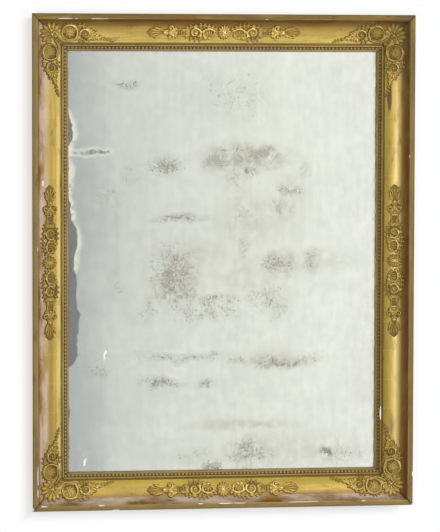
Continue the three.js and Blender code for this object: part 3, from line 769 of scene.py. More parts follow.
for side, piece in mouldings.items():
    piece.data.materials.append(gilding.material)
    piece.data.materials.append(bare_pine)
    local = SIDE_PLACES[side].inverted()
    for face in piece.data.polygons:
        middle = local @ face.center
        in_rebate = (-middle.z > rail_width - SECTION["rebate"] - SAME_PLACE
                     and wood_back - middle.y < SECTION["rebate_depth"])
        face.material_index = 1 if face.normal.y > 0.5 or in_rebate else 0
    cutters = [chip_cutter(number, *chip) for number, chip in enumerate(CHIPS) if chip[0] == side]
    cutters += [mitre_key(corner, KEY_EASE) for corner in CORNERS if side in corner]
    wedges = [open_mitre(corner, gap) for corner, gap in OPEN_MITRES if side in corner]
    for cutter in [join(cutters), *wedges]:
        applied(piece, "BOOLEAN", operation="DIFFERENCE", object=cutter, material_mode="TRANSFER")
        bpy.data.objects.remove(cutter)
    take(piece)
    bpy.ops.object.shade_smooth_by_angle(angle=SMOOTH_ANGLE)

# ---- The pearl course --------------------------------------------------------------------------------------
# Pearls of pressed composition lie in the bed between the fillet and the lip, glued down one against the next.
# The corner pearls belong to the rails. Their gilding is rubbed pale on the crests, and painted darker down
# towards the bed between them, as painted shade.
PEARL_PITCH = 0.0105
PEARL_LONG = 0.0098
PEARL_WIDE = 0.0073
PEARL_RISE = 0.0042
PEARL_SMOOTH_ANGLE = math.radians(60)
PEARL_LINE = rail_width - SECTION["lip"] - SECTION["bed"] / 2
pearl_bed = wood_back - (SECTION["cove_floor"] - SECTION["bed_drop"])

pearl_gilding = Finish("rubbed_pearls")
crest = pearl_gilding.rise(pearl_bed - pearl_gilding.axes()[1], 0, PEARL_RISE)
_, _, strip, on = moulding_place(pearl_gilding)
wear = pearl_gilding.grain(strip, (22, 22, 1), 4, 0.6)
speck = pearl_gilding.noise(900, 3)
height = crest * 0.8 + wear * 0.5 - 0.25 + speck * 0.15
# The colour darkens from the crests down to the bed: painted shade between the pearls.
pearl_gilding.colors = pearl_gilding.ramp(height, [
    (0.1, (0.21, 0.135, 0.045)), (0.4, (0.24, 0.16, 0.055)), (0.7, (0.29, 0.205, 0.075)),
    (0.95, (0.40, 0.30, 0.13)),
])
# The pearls on the right are painted darker, as painted shade, and those at the top a little darker too.
soot_and_shade = 0.6 * on("right") + 0.22 * on("top")
pearl_gilding.tint(soot_and_shade, (0.085, 0.05, 0.01))
pearl_gilding.principled(
    Metallic=pearl_gilding.rise(height, 0.5, 0.9) * 0.4,
    Roughness=0.66 - 0.14 * crest,
    Specular_IOR_Level=0.3,
    Normal=pearl_gilding.bump(speck, 0.0003, 0.4),
)


def pearl_course(side, length):
    """A course laid along its side, from the crest of its first pearl to the crest of its last."""
    gaps = round(length / PEARL_PITCH)
    course = begin(bpy.ops.mesh.primitive_uv_sphere_add, segments=10, ring_count=6, radius=0.5)
    course.name = f"{side}_pearl_course"
    bpy.ops.transform.resize(value=(PEARL_LONG, 2 * PEARL_RISE, PEARL_WIDE))
    bpy.ops.mesh.bisect(plane_co=(0, 0, 0), plane_no=(0, 1, 0), use_fill=True, clear_outer=True)
    bpy.ops.mesh.select_all(action="SELECT")
    bpy.ops.transform.translate(value=(-length / 2, pearl_bed, -PEARL_LINE))
    bpy.ops.object.mode_set(mode="OBJECT")
    applied(course, "ARRAY", use_relative_offset=False, use_constant_offset=True, count=gaps + 1,
            constant_offset_displace=(length / gaps, 0, 0))
    bpy.ops.object.shade_smooth_by_angle(angle=PEARL_SMOOTH_ANGLE)
    course.data.transform(SIDE_PLACES[side])
    course.data.materials.append(pearl_gilding.material)
    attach(course, "frame")
    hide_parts(f"{side}_pearls")


for side in SIDE_PLACES:
    corner_to_corner = 2 * ((half_width if side in RAILS else half_height) - PEARL_LINE)
    pearl_course(side, corner_to_corner if side in RAILS else corner_to_corner - 2 * PEARL_PITCH)

# ---- Composition ornament ----------------------------------------------------------------------------------
# Glue, resin and whiting are pressed warm into boxwood moulds, bent onto the cove, glued and gilded. Each
# casting is modelled flat from drops, stems and knobs, grown into one body, and bent to the cove like that.
VOXEL = 0.0008
SINK = 0.0003
FULL_RELIEF = 0.009
MITRE_BLEND = 0.016


def drop_pattern():
    """A drop along X, from its narrow root at 0 to its round tip at 1."""
    piece = begin(bpy.ops.mesh.primitive_uv_sphere_add, segments=12, ring_count=8, radius=0.5)
    bpy.ops.transform.rotate(value=math.pi / 2, orient_axis="Y", center_override=(0, 0, 0))
    bpy.ops.transform.translate(value=(0.5, 0, 0))
    for reach, narrower in ((0.62, 0.86), (0.45, 0.8), (0.25, 0.8)):
        pick(piece, "vertices", lambda vertex: vertex.co.x < reach)
        bpy.ops.transform.resize(value=(1, narrower, narrower), center_override=(0, 0, 0))
    bpy.ops.object.mode_set(mode="OBJECT")
    return piece


drop_piece = drop_pattern()
knob_piece = begin(bpy.ops.mesh.primitive_uv_sphere_add, segments=12, ring_count=8, radius=1)
bpy.ops.object.mode_set(mode="OBJECT")


def round_point(centre, radius, angle):
    return centre[0] + radius * math.cos(angle), centre[1] + radius * math.sin(angle)


class Casting:
    """The pieces of one casting, drawn flat in millimetres over (along, inward)."""

    def __init__(self, way=1):
        self.way = way
        self.pieces = []

    def point(self, along, inward):
        return Vector((self.way * along, 0, -inward)) * MM

    def drop(self, root, tip, half, rise):
        start, run = self.point(*root), self.point(*tip) - self.point(*root)
        across = Vector((-run.z, 0, run.x)).normalized() * 2 * half * MM
        shape = Matrix((run, (0, 2 * rise * MM, 0), across)).transposed().to_4x4()
        self.pieces.append(own_copy(drop_piece, "drop", Matrix.Translation(start) @ shape))

    def knob(self, centre, radius, rise):
        size = Matrix.Diagonal((radius * MM, rise * MM, radius * MM, 1))
        self.pieces.append(own_copy(knob_piece, "knob", Matrix.Translation(self.point(*centre)) @ size))

    def stem(self, points, halves, rise):
        """A round stem through some points. It is as thick as its half widths say, and pressed to the rise."""
        curve = bpy.data.curves.new("stem", "CURVE")
        curve.dimensions = "3D"
        curve.bevel_depth = MM
        curve.bevel_resolution = 2
        curve.use_fill_caps = True
        curve.resolution_u = 3
        line = curve.splines.new("NURBS")
        line.points.add(len(points) - 1)
        for place, point, half in zip(line.points, points, halves):
            place.co = (*self.point(*point), 1)
            place.radius = half
        line.order_u = 3
        line.use_endpoint_u = True
        stem = bpy.data.objects.new("stem", curve)
        bpy.context.collection.objects.link(stem)
        take(stem)
        bpy.ops.object.convert(target="MESH")
        stem = bpy.context.object
        stem.data.transform(Matrix.Diagonal((1, rise / max(halves), 1, 1)))
        self.pieces.append(stem)

    def volute(self, centre, start, turn, radii, halves, rise, eye=0.0):
        """A stem that curls round a centre, from one radius to another, with an eye in its middle."""
        steps = max(6, round(abs(turn) / 30))
        points, thick = [], []
        for step in range(steps + 1):
            share = step / steps
            angle = math.radians(start + turn * share)
            points.append(round_point(centre, radii[0] + (radii[1] - radii[0]) * share, angle))
            thick.append(halves[0] + (halves[1] - halves[0]) * share)
        self.stem(points, thick, rise)
        if eye:
            self.knob(centre, eye, rise * 1.15)

    def fan(self, root, heading, spread, ribs, length, half, rise, shortest=0.7):
        """Ribs from one root. The middle one is the longest."""
        for rib in range(ribs):
            side = 2 * rib / (ribs - 1) - 1
            angle = math.radians(heading + spread * side)
            reach = length * (1 - (1 - shortest) * side * side)
            self.drop(root, round_point(root, reach, angle), half, rise)

    def rosette(self, centre, radius, petals, rise):
        """Two rings of petals, the inner one turned by half a petal, and a knob."""
        for ring, share in enumerate((1, 0.62)):
            for petal in range(petals):
                angle = (petal + ring / 2) * 2 * math.pi / petals
                reach = radius * share
                half, height = reach * 2.5 / petals, rise * (0.75 + 0.35 * ring)
                self.drop(centre, round_point(centre, reach, angle), half, height)
        self.knob(centre, radius * 0.22, rise * 1.35)

    def leaf(self, points, half, lobes, rise):
        """An acanthus leaf: lobes on both sides of a bent rib, widest near its middle, and one at its tip."""
        def spot(share):
            """A point on the rib, which is a smooth cubic through its points."""
            place = min(share, 0.999) * (len(points) - 1)
            index = int(place)
            near = [Vector(points[max(0, min(len(points) - 1, index + step))]) for step in (-1, 0, 1, 2)]
            t = place - index
            slopes = (near[2] - near[0]) / 2, (near[3] - near[1]) / 2
            lift = 2 * t ** 3 - 3 * t ** 2
            return ((1 + lift) * near[1] - lift * near[2]
                    + (t ** 3 - 2 * t ** 2 + t) * slopes[0] + (t ** 3 - t ** 2) * slopes[1])

        for lobe in range(lobes):
            share = (lobe + 0.4) / lobes
            centre, ahead = spot(share), (spot(share + 0.05) - spot(share - 0.02)).normalized()
            reach = half * (0.5 + 0.7 * math.sin(math.pi * (0.12 + 0.75 * share)))
            for side in (-1, 1):
                out = Matrix.Rotation(math.radians(50 * side), 2) @ ahead
                self.drop(centre - ahead * half * 0.3, centre + out * reach, half * 0.42, rise * 0.85)
        onward = (spot(0.99) - spot(0.9)).normalized()
        self.drop(spot(0.88), spot(0.995) + onward * half * 0.6, half * 0.4, rise)
        shares = [step / 6 for step in range(7)]
        halves = [half * (0.26 - 0.1 * share) for share in shares]
        self.stem([tuple(spot(share)) for share in shares], halves, rise)

    def grown(self, name):
        """Joins the pieces, grows them into one body, flattens its back and softens it a little."""
        body = join(self.pieces)
        body.name = name
        applied(body, "REMESH", mode="VOXEL", voxel_size=VOXEL)
        bpy.ops.object.mode_set(mode="EDIT")
        pick(body, "vertices", lambda vertex: vertex.co.y > 0)
        bpy.ops.transform.resize(value=(1, 0, 1), center_override=(0, 0, 0))
        bpy.ops.object.mode_set(mode="OBJECT")
        applied(body, "SMOOTH", iterations=1, factor=0.4)
        applied(body, "DECIMATE", ratio=0.45)
        bpy.ops.object.shade_smooth()
        return body


def bend(casting, corner):
    """Lays a flat casting on the cove of the top rail, or over the mitre at the top right corner."""
    relief = casting.data.attributes.new("relief", "FLOAT", "POINT")
    for vertex, height in zip(casting.data.vertices, relief.data):
        along, inward, rise = vertex.co.x, -vertex.co.z, -vertex.co.y
        height.value = rise / FULL_RELIEF
        rise -= SINK if rise < MM / 2 else 0
        deep, normal = cove_surface(inward)
        if not corner:
            vertex.co = (along, wood_back - deep - rise * normal[1], -inward - rise * normal[0])
            continue
        side_deep, side_normal = cove_surface(-along)
        on_side = min(max((inward + along) / MITRE_BLEND + 0.5, 0), 1)
        side_push, push = rise * side_normal[0] * on_side, rise * normal[0] * (1 - on_side)
        forward = rise * (side_normal[1] * on_side + normal[1] * (1 - on_side))
        vertex.co = (along - side_push, wood_back - max(deep, side_deep) - forward, -inward - push)
    return casting


ornament_gilding = Finish("ornament_gilding")
_, past_mitre, strip, on = moulding_place(ornament_gilding)
relief = ornament_gilding.node("ShaderNodeAttribute", {"attribute_name": "relief"})[2]
cloud = ornament_gilding.grain(strip, (12, 12, 1), 4, 0.6)
speck = ornament_gilding.noise(260, 5, 0.65)
height = relief + cloud * 0.35 - 0.17 + speck * 0.5 - 0.25
# The colour runs from dark in the hollows of the relief to bright gold on its crests; the dark of the
# hollows is painted shade.
ornament_gilding.colors = ornament_gilding.ramp(height, [
    (0.08, (0.12, 0.07, 0.014)), (0.3, (0.28, 0.18, 0.04)), (0.58, (0.50, 0.36, 0.09)), (0.88, (0.82, 0.65, 0.26)),
])
ornament_gilding.tint(ornament_gilding.rise(speck, 0.62, 0.72) * 0.5, (0.10, 0.055, 0.02))
# Soot and handling have darkened the corners most, and the stiles more than the rails.
near_corner = 1 - ornament_gilding.rise(abs(past_mitre), 0.05, 0.15)
on_stiles = 0.30 * on("right") + 0.47 * on("left")
on_upper_right = ornament_gilding.spot((half_width, half_height), (0.22, 0.22), 0.5)
soot_and_shade = on_stiles.math("MAXIMUM", 0.28 * near_corner).math("MAXIMUM", 0.58 * on_upper_right)
ornament_gilding.tint(soot_and_shade, (0.12, 0.075, 0.012))
ornament_gilding.principled(
    Metallic=ornament_gilding.rise(height, 0.2, 0.6) * 0.75,
    Roughness=0.55 - 0.2 * ornament_gilding.rise(height, 0.3, 0.9) + 0.1 * speck,
    Specular_IOR_Level=0.3,
    Normal=ornament_gilding.bump(speck, 0.0003, 0.35),
)

palmette = Casting(-1)
heart = (57, 58)
palmette.fan(heart, 225, 108, 9, 37, 7.4, 6.4, 0.9)
palmette.fan(heart, 225, 108, 9, 33, 1.6, 8.4, 0.9)
palmette.fan(heart, 225, 84, 5, 17, 3.2, 9.0, 0.9)
palmette.leaf([heart, (67, 68), (76, 77), (82, 83)], 9, 3, 6.5)
palmette.volute((49, 75), -60, 330, (8, 3), (2.6, 1.6), 7.5, 2.6)
palmette.volute((75, 49), 150, -330, (8, 3), (2.6, 1.6), 7.5, 2.6)
palmette.knob(heart, 6, 10)
palmette = bend(palmette.grown("corner_palmette"), True)

spray = Casting(-1)
spray.knob((107, 52), 22, 2.8)
spray.knob((152, 56), 17, 2.6)
spray.stem([(72, 64), (82, 73), (97, 78), (114, 77), (127, 69), (133, 58)], [2.6, 3.2, 3.2, 3.2, 2.8, 2.2], 7)
spray.volute((107, 52), 40, -345, (24, 21), (3.4, 2.6), 8)
spray.fan((107, 52), 258, 78, 9, 30, 5, 4.6, 0.9)
spray.rosette((107, 52), 16.5, 8, 7)
spray.leaf([(122, 68), (134, 75), (149, 76), (163, 71)], 7, 4, 6.5)
spray.leaf([(120, 37), (132, 32), (147, 33), (161, 41)], 7.5, 4, 6.5)
spray.volute((152, 56), 190, 360, (16, 6), (3.4, 2.2), 8, 4)
spray.leaf([(137, 62), (139, 48), (150, 40), (164, 44)], 5, 4, 8)
spray.fan((160, 58), 10, 66, 6, 24, 4.2, 6.4, 0.85)
spray.knob((183, 61), 4.6, 7.5)
for bud in ((178, 72), (189, 71), (194, 63), (182, 51), (200, 70)):
    spray.drop((172, 61), bud, 3.6, 6)
    spray.knob(bud, 3.3, 7.0)
spray.leaf([(192, 66), (204, 69), (216, 72), (226, 75)], 6, 4, 5.5)
spray.knob((231, 77), 2.6, 5)
spray = bend(spray.grown("corner_spray"), True)

flower = Casting()
flower.knob((0, 50), 17, 3)
for heading in (-90, 90):
    flower.fan((0, 50), heading, 76, 7, 22.5, 3.9, 6.6, 0.92)
    flower.fan((0, 50), heading, 76, 7, 20, 1.3, 8.2, 0.92)
    flower.fan((0, 50), heading, 60, 4, 12, 2.8, 9.0)
flower.knob((0, 50), 5.4, 10)
flower = bend(flower.grown("side_flower"), False)

wing = Casting()
wing.knob((46, 54), 17, 2.6)
wing.knob((84, 52), 19, 2.6)
wing.knob((112, 51), 13, 2.4)
wing.leaf([(20, 42), (33, 36), (49, 32), (67, 30), (85, 34)], 7.5, 6, 6.8)
wing.volute((43, 54), 70, -335, (17, 15), (2.7, 2.1), 7.6)
wing.fan((43, 68), -90, 66, 7, 26, 3.2, 5.8, 0.8)
wing.fan((43, 68), -90, 66, 7, 24, 1.1, 7.2, 0.8)
wing.knob((43, 66), 4.6, 8)
wing.stem([(22, 49), (31, 43), (43, 40), (57, 43), (67, 53), (74, 64)], [2.6, 3.2, 3.4, 3.2, 3.0, 2.6], 7)
wing.volute((82, 52), 140, 430, (18, 4), (3.5, 2.2), 8.4, 4)
wing.fan((82, 52), -60, 100, 9, 15, 1.9, 5.4, 0.9)
wing.leaf([(51, 67), (65, 72), (81, 72), (97, 69), (109, 61)], 7, 5, 6.4)
wing.leaf([(80, 35), (93, 34), (106, 38), (116, 45)], 7, 4, 6.4)
wing.fan((96, 51), 0, 52, 5, 15, 3.2, 5.8, 0.8)
wing.knob((120, 51), 11, 2.2)
for way in (-1, 1):
    wing.stem([(98, 51 + way * 10), (116, 51 + way * 7), (136, 51 + way * 10)], [2.2, 1.9, 2.2], 5.2)
for along in (108, 115, 122, 129):
    wing.stem([(along, 43), (along - 1.5, 51), (along, 59)], [1.7, 1.7, 1.7], 4.6)
wing.knob((150, 51), 17, 2.8)
wing.fan((134, 51), 0, 70, 7, 22, 4.0, 6.4, 0.85)
wing.fan((134, 51), 0, 70, 7, 20, 1.2, 7.8, 0.85)
wing.knob((137, 51), 4.6, 8.4)
wing.volute((152, 38), 90, 400, (9, 3), (3.0, 2.0), 7.4, 3.2)
wing.volute((152, 64), -90, -400, (9, 3), (3.0, 2.0), 7.4, 3.2)
wing.leaf([(150, 51), (157, 51), (163, 51), (170, 51)], 9, 3, 7.6)
wing.knob((168, 51), 5.4, 8.8)
wing.drop((169, 51), (219, 51), 12.5, 3.4)
for way in (-1, 1):
    rim = [(170, 51 + way * 3), (176, 51 + way * 11), (189, 51 + way * 14), (204, 51 + way * 10), (219, 51)]
    wing.stem(rim, [1.6, 1.9, 1.9, 1.7, 1.2], 5.6)
wing.fan((171, 51), 0, 46, 7, 45, 2.9, 6.2, 0.48)
wing = bend(wing.grown("side_wing"), False)


def settle(casting, name, matrix, node):
    """A copy of a casting, set in its own place for good."""
    piece = own_copy(casting, name, matrix)
    piece.data.materials.append(ornament_gilding.material)
    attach(piece, "frame")
    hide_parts(node)


swapped = Matrix(((0, 0, 1, 0), (0, 1, 0, 0), (1, 0, 0, 0), (0, 0, 0, 1)))
to_corner = Matrix.Translation((half_width, 0, half_height))
for corner, (x, z) in CORNERS.items():
    place = Matrix.Diagonal((x, 1, z, 1)) @ to_corner
    settle(palmette, f"{corner}_cast_palmette", place, f"{corner}_palmette")
    settle(spray, f"{corner}_cast_rail_spray", place, f"{corner}_spray_on_rail")
    settle(spray, f"{corner}_cast_stile_spray", place @ swapped, f"{corner}_spray_on_stile")
mirrored = Matrix.Diagonal((-1, 1, 1, 1))
for side, place in SIDE_PLACES.items():
    settle(flower, f"{side}_cast_flower", place, f"{side}_flower")
    settle(wing, f"{side}_cast_wing_1", place, f"{side}_wing_1")
    settle(wing, f"{side}_cast_wing_2", place @ mirrored, f"{side}_wing_2")
for pattern in (drop_piece, knob_piece, palmette, spray, flower, wing):
    bpy.data.objects.remove(pattern)

# ---- The mirror plate --------------------------------------------------------------------------------------
# The plate is old clear glass, 4 mm thick, held in the rebate by glue blocks. Its tin and mercury silvering has
# foxed where damp got at it, and has come away down the left edge, where the dark of the boards shows.
GLASS_TINT = (0.97, 0.985, 0.975)
GLASS_ARRIS = 0.0008
COAT_GAP = 0.00004
COAT_ARRIS = 0.00005
plate_low, plate_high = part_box("mirror_plate")
sight_half_width = half_width - rail_width


def sheet_of_plate(name, front, back, edge):
    """A sheet as large as the plate, with its edges ground off a little."""
    sheet = begin(bpy.ops.mesh.primitive_cube_add, size=1)
    sheet.name = name
    size, middle = plate_high - plate_low, (plate_low + plate_high) / 2
    bpy.ops.transform.resize(value=(size.x, back - front, size.z))
    bpy.ops.transform.translate(value=(middle.x, (front + back) / 2, middle.z))
    bpy.ops.mesh.bevel(offset=edge, segments=2)
    bpy.ops.object.mode_set(mode="OBJECT")
    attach(sheet, "frame")
    return sheet


glass = Finish("old_glass")
path = glass.node("ShaderNodeLightPath")
clear = glass.node("ShaderNodeBsdfPrincipled", None, {
    "Base Color": GLASS_TINT, "Roughness": 0.0, "IOR": 1.5, "Transmission Weight": 1.0,
    "Normal": glass.bump(glass.noise(2.2, 2), 0.002, 0.12),
})[0]
open_to_light = glass.node("ShaderNodeBsdfTransparent")[0]
lets_by = path[1].math("MAXIMUM", path[2])
glass.surface(glass.node("ShaderNodeMixShader", None, {0: lets_by, 1: clear, 2: open_to_light})[0])
plate = sheet_of_plate("old_plate_glass", plate_low.y, plate_high.y - COAT_GAP, GLASS_ARRIS)
plate.data.materials.append(glass.material)
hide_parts("mirror_plate")

# Each cloud of foxing is (x, z, half width, half height, strength), in millimetres from the plate's middle.
FOXING_SPREAD = 1.9
FOXING = (
    (-18, 286, 34, 30, 0.9), (119, 306, 40, 20, 1.0), (66, 300, 96, 26, 0.7), (79, 255, 20, 14, 1.0),
    (193, 201, 34, 12, 0.8), (-143, -44, 56, 74, 1.0), (161, -7, 40, 28, 0.9), (136, -106, 52, 34, 0.55),
    (-120, 124, 64, 11, 0.9), (-277, 503, 36, 9, 0.9), (-114, -271, 108, 10, 0.8), (164, -285, 96, 15, 0.85),
    (-177, -345, 52, 16, 0.95), (-43, -348, 26, 12, 0.8), (73, -550, 52, 38, 0.75), (300, -544, 17, 13, 1.3),
    (-163, 269, 44, 26, 0.9), (-18, -112, 56, 18, 0.7), (156, -140, 26, 32, 0.6), (-299, -44, 24, 56, 0.4),
    (-345, -314, 24, 16, 0.7), (255, 2, 18, 32, 0.6), (65, 42, 11, 36, 0.6), (-250, 250, 30, 40, 0.4),
    (240, 262, 14, 22, 0.5), (30, 470, 90, 60, 0.3), (-90, -560, 60, 20, 0.4), (-60, -150, 90, 24, 0.6),
    (40, 250, 40, 40, 0.6), (-205, -130, 26, 40, 0.5), (20, -285, 60, 8, 0.8), (-30, -590, 30, 24, 0.9),
    (170, 140, 30, 24, 0.5), (-330, 190, 34, 30, 0.4), (60, 120, 50, 60, 0.35), (340, -560, 60, 30, 0.4),
)
# The beige clouds are larger and soft.
CLOUDS = (
    (60, 290, 190, 70, 0.9), (50, -467, 260, 26, 0.8), (90, 120, 190, 150, 0.4), (-120, -60, 130, 120, 0.6),
    (60, -40, 200, 90, 0.5), (150, -280, 150, 50, 0.6), (60, -540, 120, 60, 0.5), (190, 190, 90, 110, 0.5),
    (240, 0, 260, 60, 0.5), (200, -540, 420, 90, 0.45), (-60, 20, 160, 60, 0.5),
)
# Where the silvering has come away, down the left edge.
LOSSES = (
    (-446, 374, 19, 58), (-446, 318, 12, 22), (-446, 240, 11, 60), (-446, 150, 12, 50), (-446, 62, 32, 68),
    (-446, 10, 26, 52), (-446, -70, 27, 74), (-446, -160, 36, 88), (-446, -232, 30, 74), (-446, -430, 11, 40),
    (-446, -520, 9, 46),
)
HALOES = 6  # from the top

silver = Finish("foxed_silvering")
x, _, z = silver.axes()
torn = silver.ragged(16, 0.016)
frayed = silver.ragged(60, 0.006, torn)
fine = silver.noise(150, 5, 0.68)
middling = silver.noise(34, 5, 0.62)
brushed = silver.grain(silver.place, (70, 1, 5), 4, 0.6)
wiped = silver.grain(silver.place, (46, 1, 7), 5, 0.65, turn=(0, math.radians(35), 0))
broad = silver.noise(3.2, 5, 0.6)


def gathered(places, place, soft):
    """The strongest of some spots, each by its own strength."""
    total = 0
    for across, up, wide, high, strength in places:
        oval = silver.spot((across * MM, up * MM), (wide * MM, high * MM), soft, place)
        total = oval * strength if total == 0 else total.math("MAXIMUM", oval * strength)
    return total


drifted = silver.node("ShaderNodeSeparateXYZ", None, {0: silver.ragged(2.6, 0.07)})[0]
silver.colors = silver.ramp((drifted + sight_half_width) / (2 * sight_half_width), [
    (0.0, (0.42, 0.435, 0.42)), (0.07, (0.48, 0.495, 0.47)), (0.16, (0.595, 0.605, 0.565)),
    (0.3, (0.66, 0.665, 0.61)), (0.55, (0.75, 0.75, 0.68)), (0.85, (0.81, 0.81, 0.74)), (1.0, (0.80, 0.80, 0.74)),
])
mottle = silver.noise(11, 6, 0.7, distortion=0.8)
tone = 0.615 + 0.2 * broad + 0.07 * brushed + 0.16 * wiped + 0.18 * middling + 0.22 * mottle
silver.shade(tone)
beige = gathered(CLOUDS, torn, 0.95) * silver.rise(middling, 0.28, 0.62)
silver.tint(beige, (0.56, 0.535, 0.42))
foxed_places = [(across, up, wide * FOXING_SPREAD, high * FOXING_SPREAD, strength)
                for across, up, wide, high, strength in FOXING]
foxed = gathered(foxed_places, silver.ragged(9, 0.03, torn), 0.9)
smoke = foxed * silver.rise(middling * 0.6 + mottle * 0.4, 0.34, 0.56)
silver.tint(smoke * 0.6, (0.45, 0.44, 0.36))
grains = silver.noise(300, 4, 0.65, distortion=0.6)
speckle = silver.rise(grains * 0.46 + fine * 0.34 + middling * 0.2 + foxed * 0.13, 0.585, 0.65)
speckle = speckle * silver.rise(foxed, 0.02, 0.2)
silver.tint(speckle * 0.85, (0.14, 0.135, 0.11))
pinholes = silver.rise(silver.noise(260, 2, 0.5), 0.77, 0.80) * silver.rise(broad, 0.45, 0.6)
silver.tint(pinholes * 0.5, (0.25, 0.25, 0.22))
edges = 1 - silver.rise(sight_half_width - abs(x), 0.0, 0.012)
silver.tint(edges * silver.rise(middling, 0.4, 0.6) * 0.5, (0.42, 0.41, 0.35))
# A dark tide line runs in from the left edge, with pale rims.
TIDE_RISE = 0.311
streak = silver.spot((-0.375, TIDE_RISE), (0.085, 0.0065), 0.5, frayed) * silver.rise(brushed, 0.35, 0.6)
rims = silver.spot((-0.385, TIDE_RISE), (0.095, 0.017), 0.3, frayed)
silver.tint(rims * 0.4, (0.80, 0.79, 0.66))
silver.tint(streak * 0.9, (0.2, 0.2, 0.17))
# The silvering is gone down the left edge, with a pale halo round each loss, and hangs on in two bright scraps.
lost = gathered([(*place, 1) for place in LOSSES], frayed, 0.12)
halo_places = [(across, up, wide + 20, high + 16, 1) for across, up, wide, high in LOSSES[:HALOES]]
halo = gathered(halo_places, frayed, 0.45) * silver.rise(middling, 0.30, 0.46)
silver.tint(halo * 0.9, (0.78, 0.77, 0.62))
silver.tint(lost, silver.ramp(fine, [(0.35, (0.055, 0.062, 0.062)), (0.65, (0.105, 0.112, 0.108))]))
scraps = gathered([(-338, -262, 4, 15, 1), (-390, -568, 4, 17, 1)], frayed, 0.4)
silver.tint(scraps, (0.93, 0.93, 0.9))
dull = lost.math("MAXIMUM", speckle * 0.7).math("MAXIMUM", scraps)
silver.principled(
    Metallic=1 - dull,
    Roughness=0.09 + 0.35 * dull + 0.1 * smoke,
)
coat_low, coat_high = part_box("silvering")
coat = sheet_of_plate("foxed_silver_coat", coat_low.y, coat_high.y, COAT_ARRIS)
coat.data.materials.append(silver.material)
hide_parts("silvering")

# ---- The back ----------------------------------------------------------------------------------------------
# Five pine boards are nailed across the back, with clenched rose-headed nails. Behind them, short blocks of
# softwood are glued round the plate.
BOARDS = range(1, 6)
BOARD_WEAR = 0.0022
BOARD_CUTS = 90
PLANE_MARKS = 0.00025
NAIL_RADIUS = 0.0034
NAIL_RISE = 0.0005
NAIL_INSET = 0.014
NAIL_STAGGER = 0.004
NAILS_PER_END = 3
# The rows of nails, as shares of a board's height.
NAIL_ROW_START = 0.13
NAIL_ROW_PITCH = 0.37
board_pitch = (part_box("back_board_1")[0].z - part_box("back_board_5")[0].z) / (len(BOARDS) - 1)


def board_place(wood):
    """Each board is another piece of wood, so its grain starts somewhere else."""
    x, y, z = wood.axes()
    number = (z / board_pitch + 0.5).math("FLOOR")
    moved = {0: x + number * 3.7, 1: y + number * 5.3, 2: z + number * 2.9}
    return wood.node("ShaderNodeCombineXYZ", None, moved)[0]


board_pine = pine("board_pine", board_place, (0.50, 0.34, 0.18), (0.30, 0.18, 0.085))


def pine_board(number):
    """A board as large as its node, with its back edges rounded by wear and a little uneven from the plane."""
    low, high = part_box(f"back_board_{number}")
    size, middle = high - low, (low + high) / 2
    board = begin(bpy.ops.mesh.primitive_cube_add, size=1)
    board.name = f"pine_board_{number}"
    bpy.ops.transform.resize(value=(size.x, size.y - NAIL_RISE, size.z))
    bpy.ops.transform.translate(value=(middle.x, middle.y - NAIL_RISE / 2, middle.z))

    def runs_along(edge):
        start, end = (board.data.vertices[index].co for index in edge.vertices)
        return abs(start.x - end.x) > size.x / 2

    def on_back_edge(edge):
        places = [board.data.vertices[index].co for index in edge.vertices]
        return all(place.y > high.y - 2 * NAIL_RISE
                   and abs(abs(place.z - middle.z) - size.z / 2) < SAME_PLACE for place in places)

    pick(board, "edges", runs_along)
    bpy.ops.mesh.subdivide(number_cuts=BOARD_CUTS)
    pick(board, "edges", on_back_edge)
    bpy.ops.mesh.bevel(offset=BOARD_WEAR, segments=2)
    planed = high.y - 4 * NAIL_RISE
    pick(board, "vertices", lambda vertex: vertex.co.y > planed and abs(vertex.co.x) < size.x * 0.49)
    bpy.ops.transform.vertex_random(offset=PLANE_MARKS, seed=number)
    bpy.ops.object.mode_set(mode="OBJECT")
    for vertex in board.data.vertices:
        vertex.co.y = min(vertex.co.y, high.y)
        vertex.co.z = min(max(vertex.co.z, low.z), high.z)
    board.data.materials.append(board_pine)
    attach(board, "frame")
    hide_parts(f"back_board_{number}")


for number in BOARDS:
    pine_board(number)

iron = Finish("rusted_iron")
rust = iron.noise(60, 6, 0.68)
pits = iron.noise(600, 3, 0.6)
iron.colors = iron.ramp(rust, [
    (0.36, (0.045, 0.038, 0.034)), (0.52, (0.10, 0.062, 0.042)), (0.66, (0.21, 0.095, 0.045)),
])
iron.principled(
    Metallic=0.75 * (1 - iron.rise(rust, 0.48, 0.62)),
    Roughness=0.45 + 0.35 * iron.rise(rust, 0.42, 0.6),
    Normal=iron.bump(pits * 0.5 + rust * 0.5, 0.0004, 0.6),
)


def rose_nail():
    """A wrought nail's head, with four hammered faces."""
    nail = begin(bpy.ops.mesh.primitive_cylinder_add, vertices=8, radius=1, depth=1)
    bpy.ops.transform.rotate(value=math.pi / 2, orient_axis="X", center_override=(0, 0, 0))
    bpy.ops.transform.resize(value=(NAIL_RADIUS, 2 * NAIL_RISE, NAIL_RADIUS), center_override=(0, 0, 0))
    pick(nail, "polygons", lambda face: face.normal.y > 0.9)
    for _ in range(2):
        bpy.ops.mesh.inset(thickness=NAIL_RADIUS * 0.35)
    bpy.ops.transform.translate(value=(0, NAIL_RISE * 0.8, 0))
    pick(nail, "vertices", lambda vertex: True)
    bpy.ops.transform.vertex_random(offset=NAIL_RADIUS * 0.07, seed=4)
    bpy.ops.object.mode_set(mode="OBJECT")
    highest = max(vertex.co.y for vertex in nail.data.vertices)
    nail.data.transform(Matrix.Translation((0, -highest, 0)))
    return nail


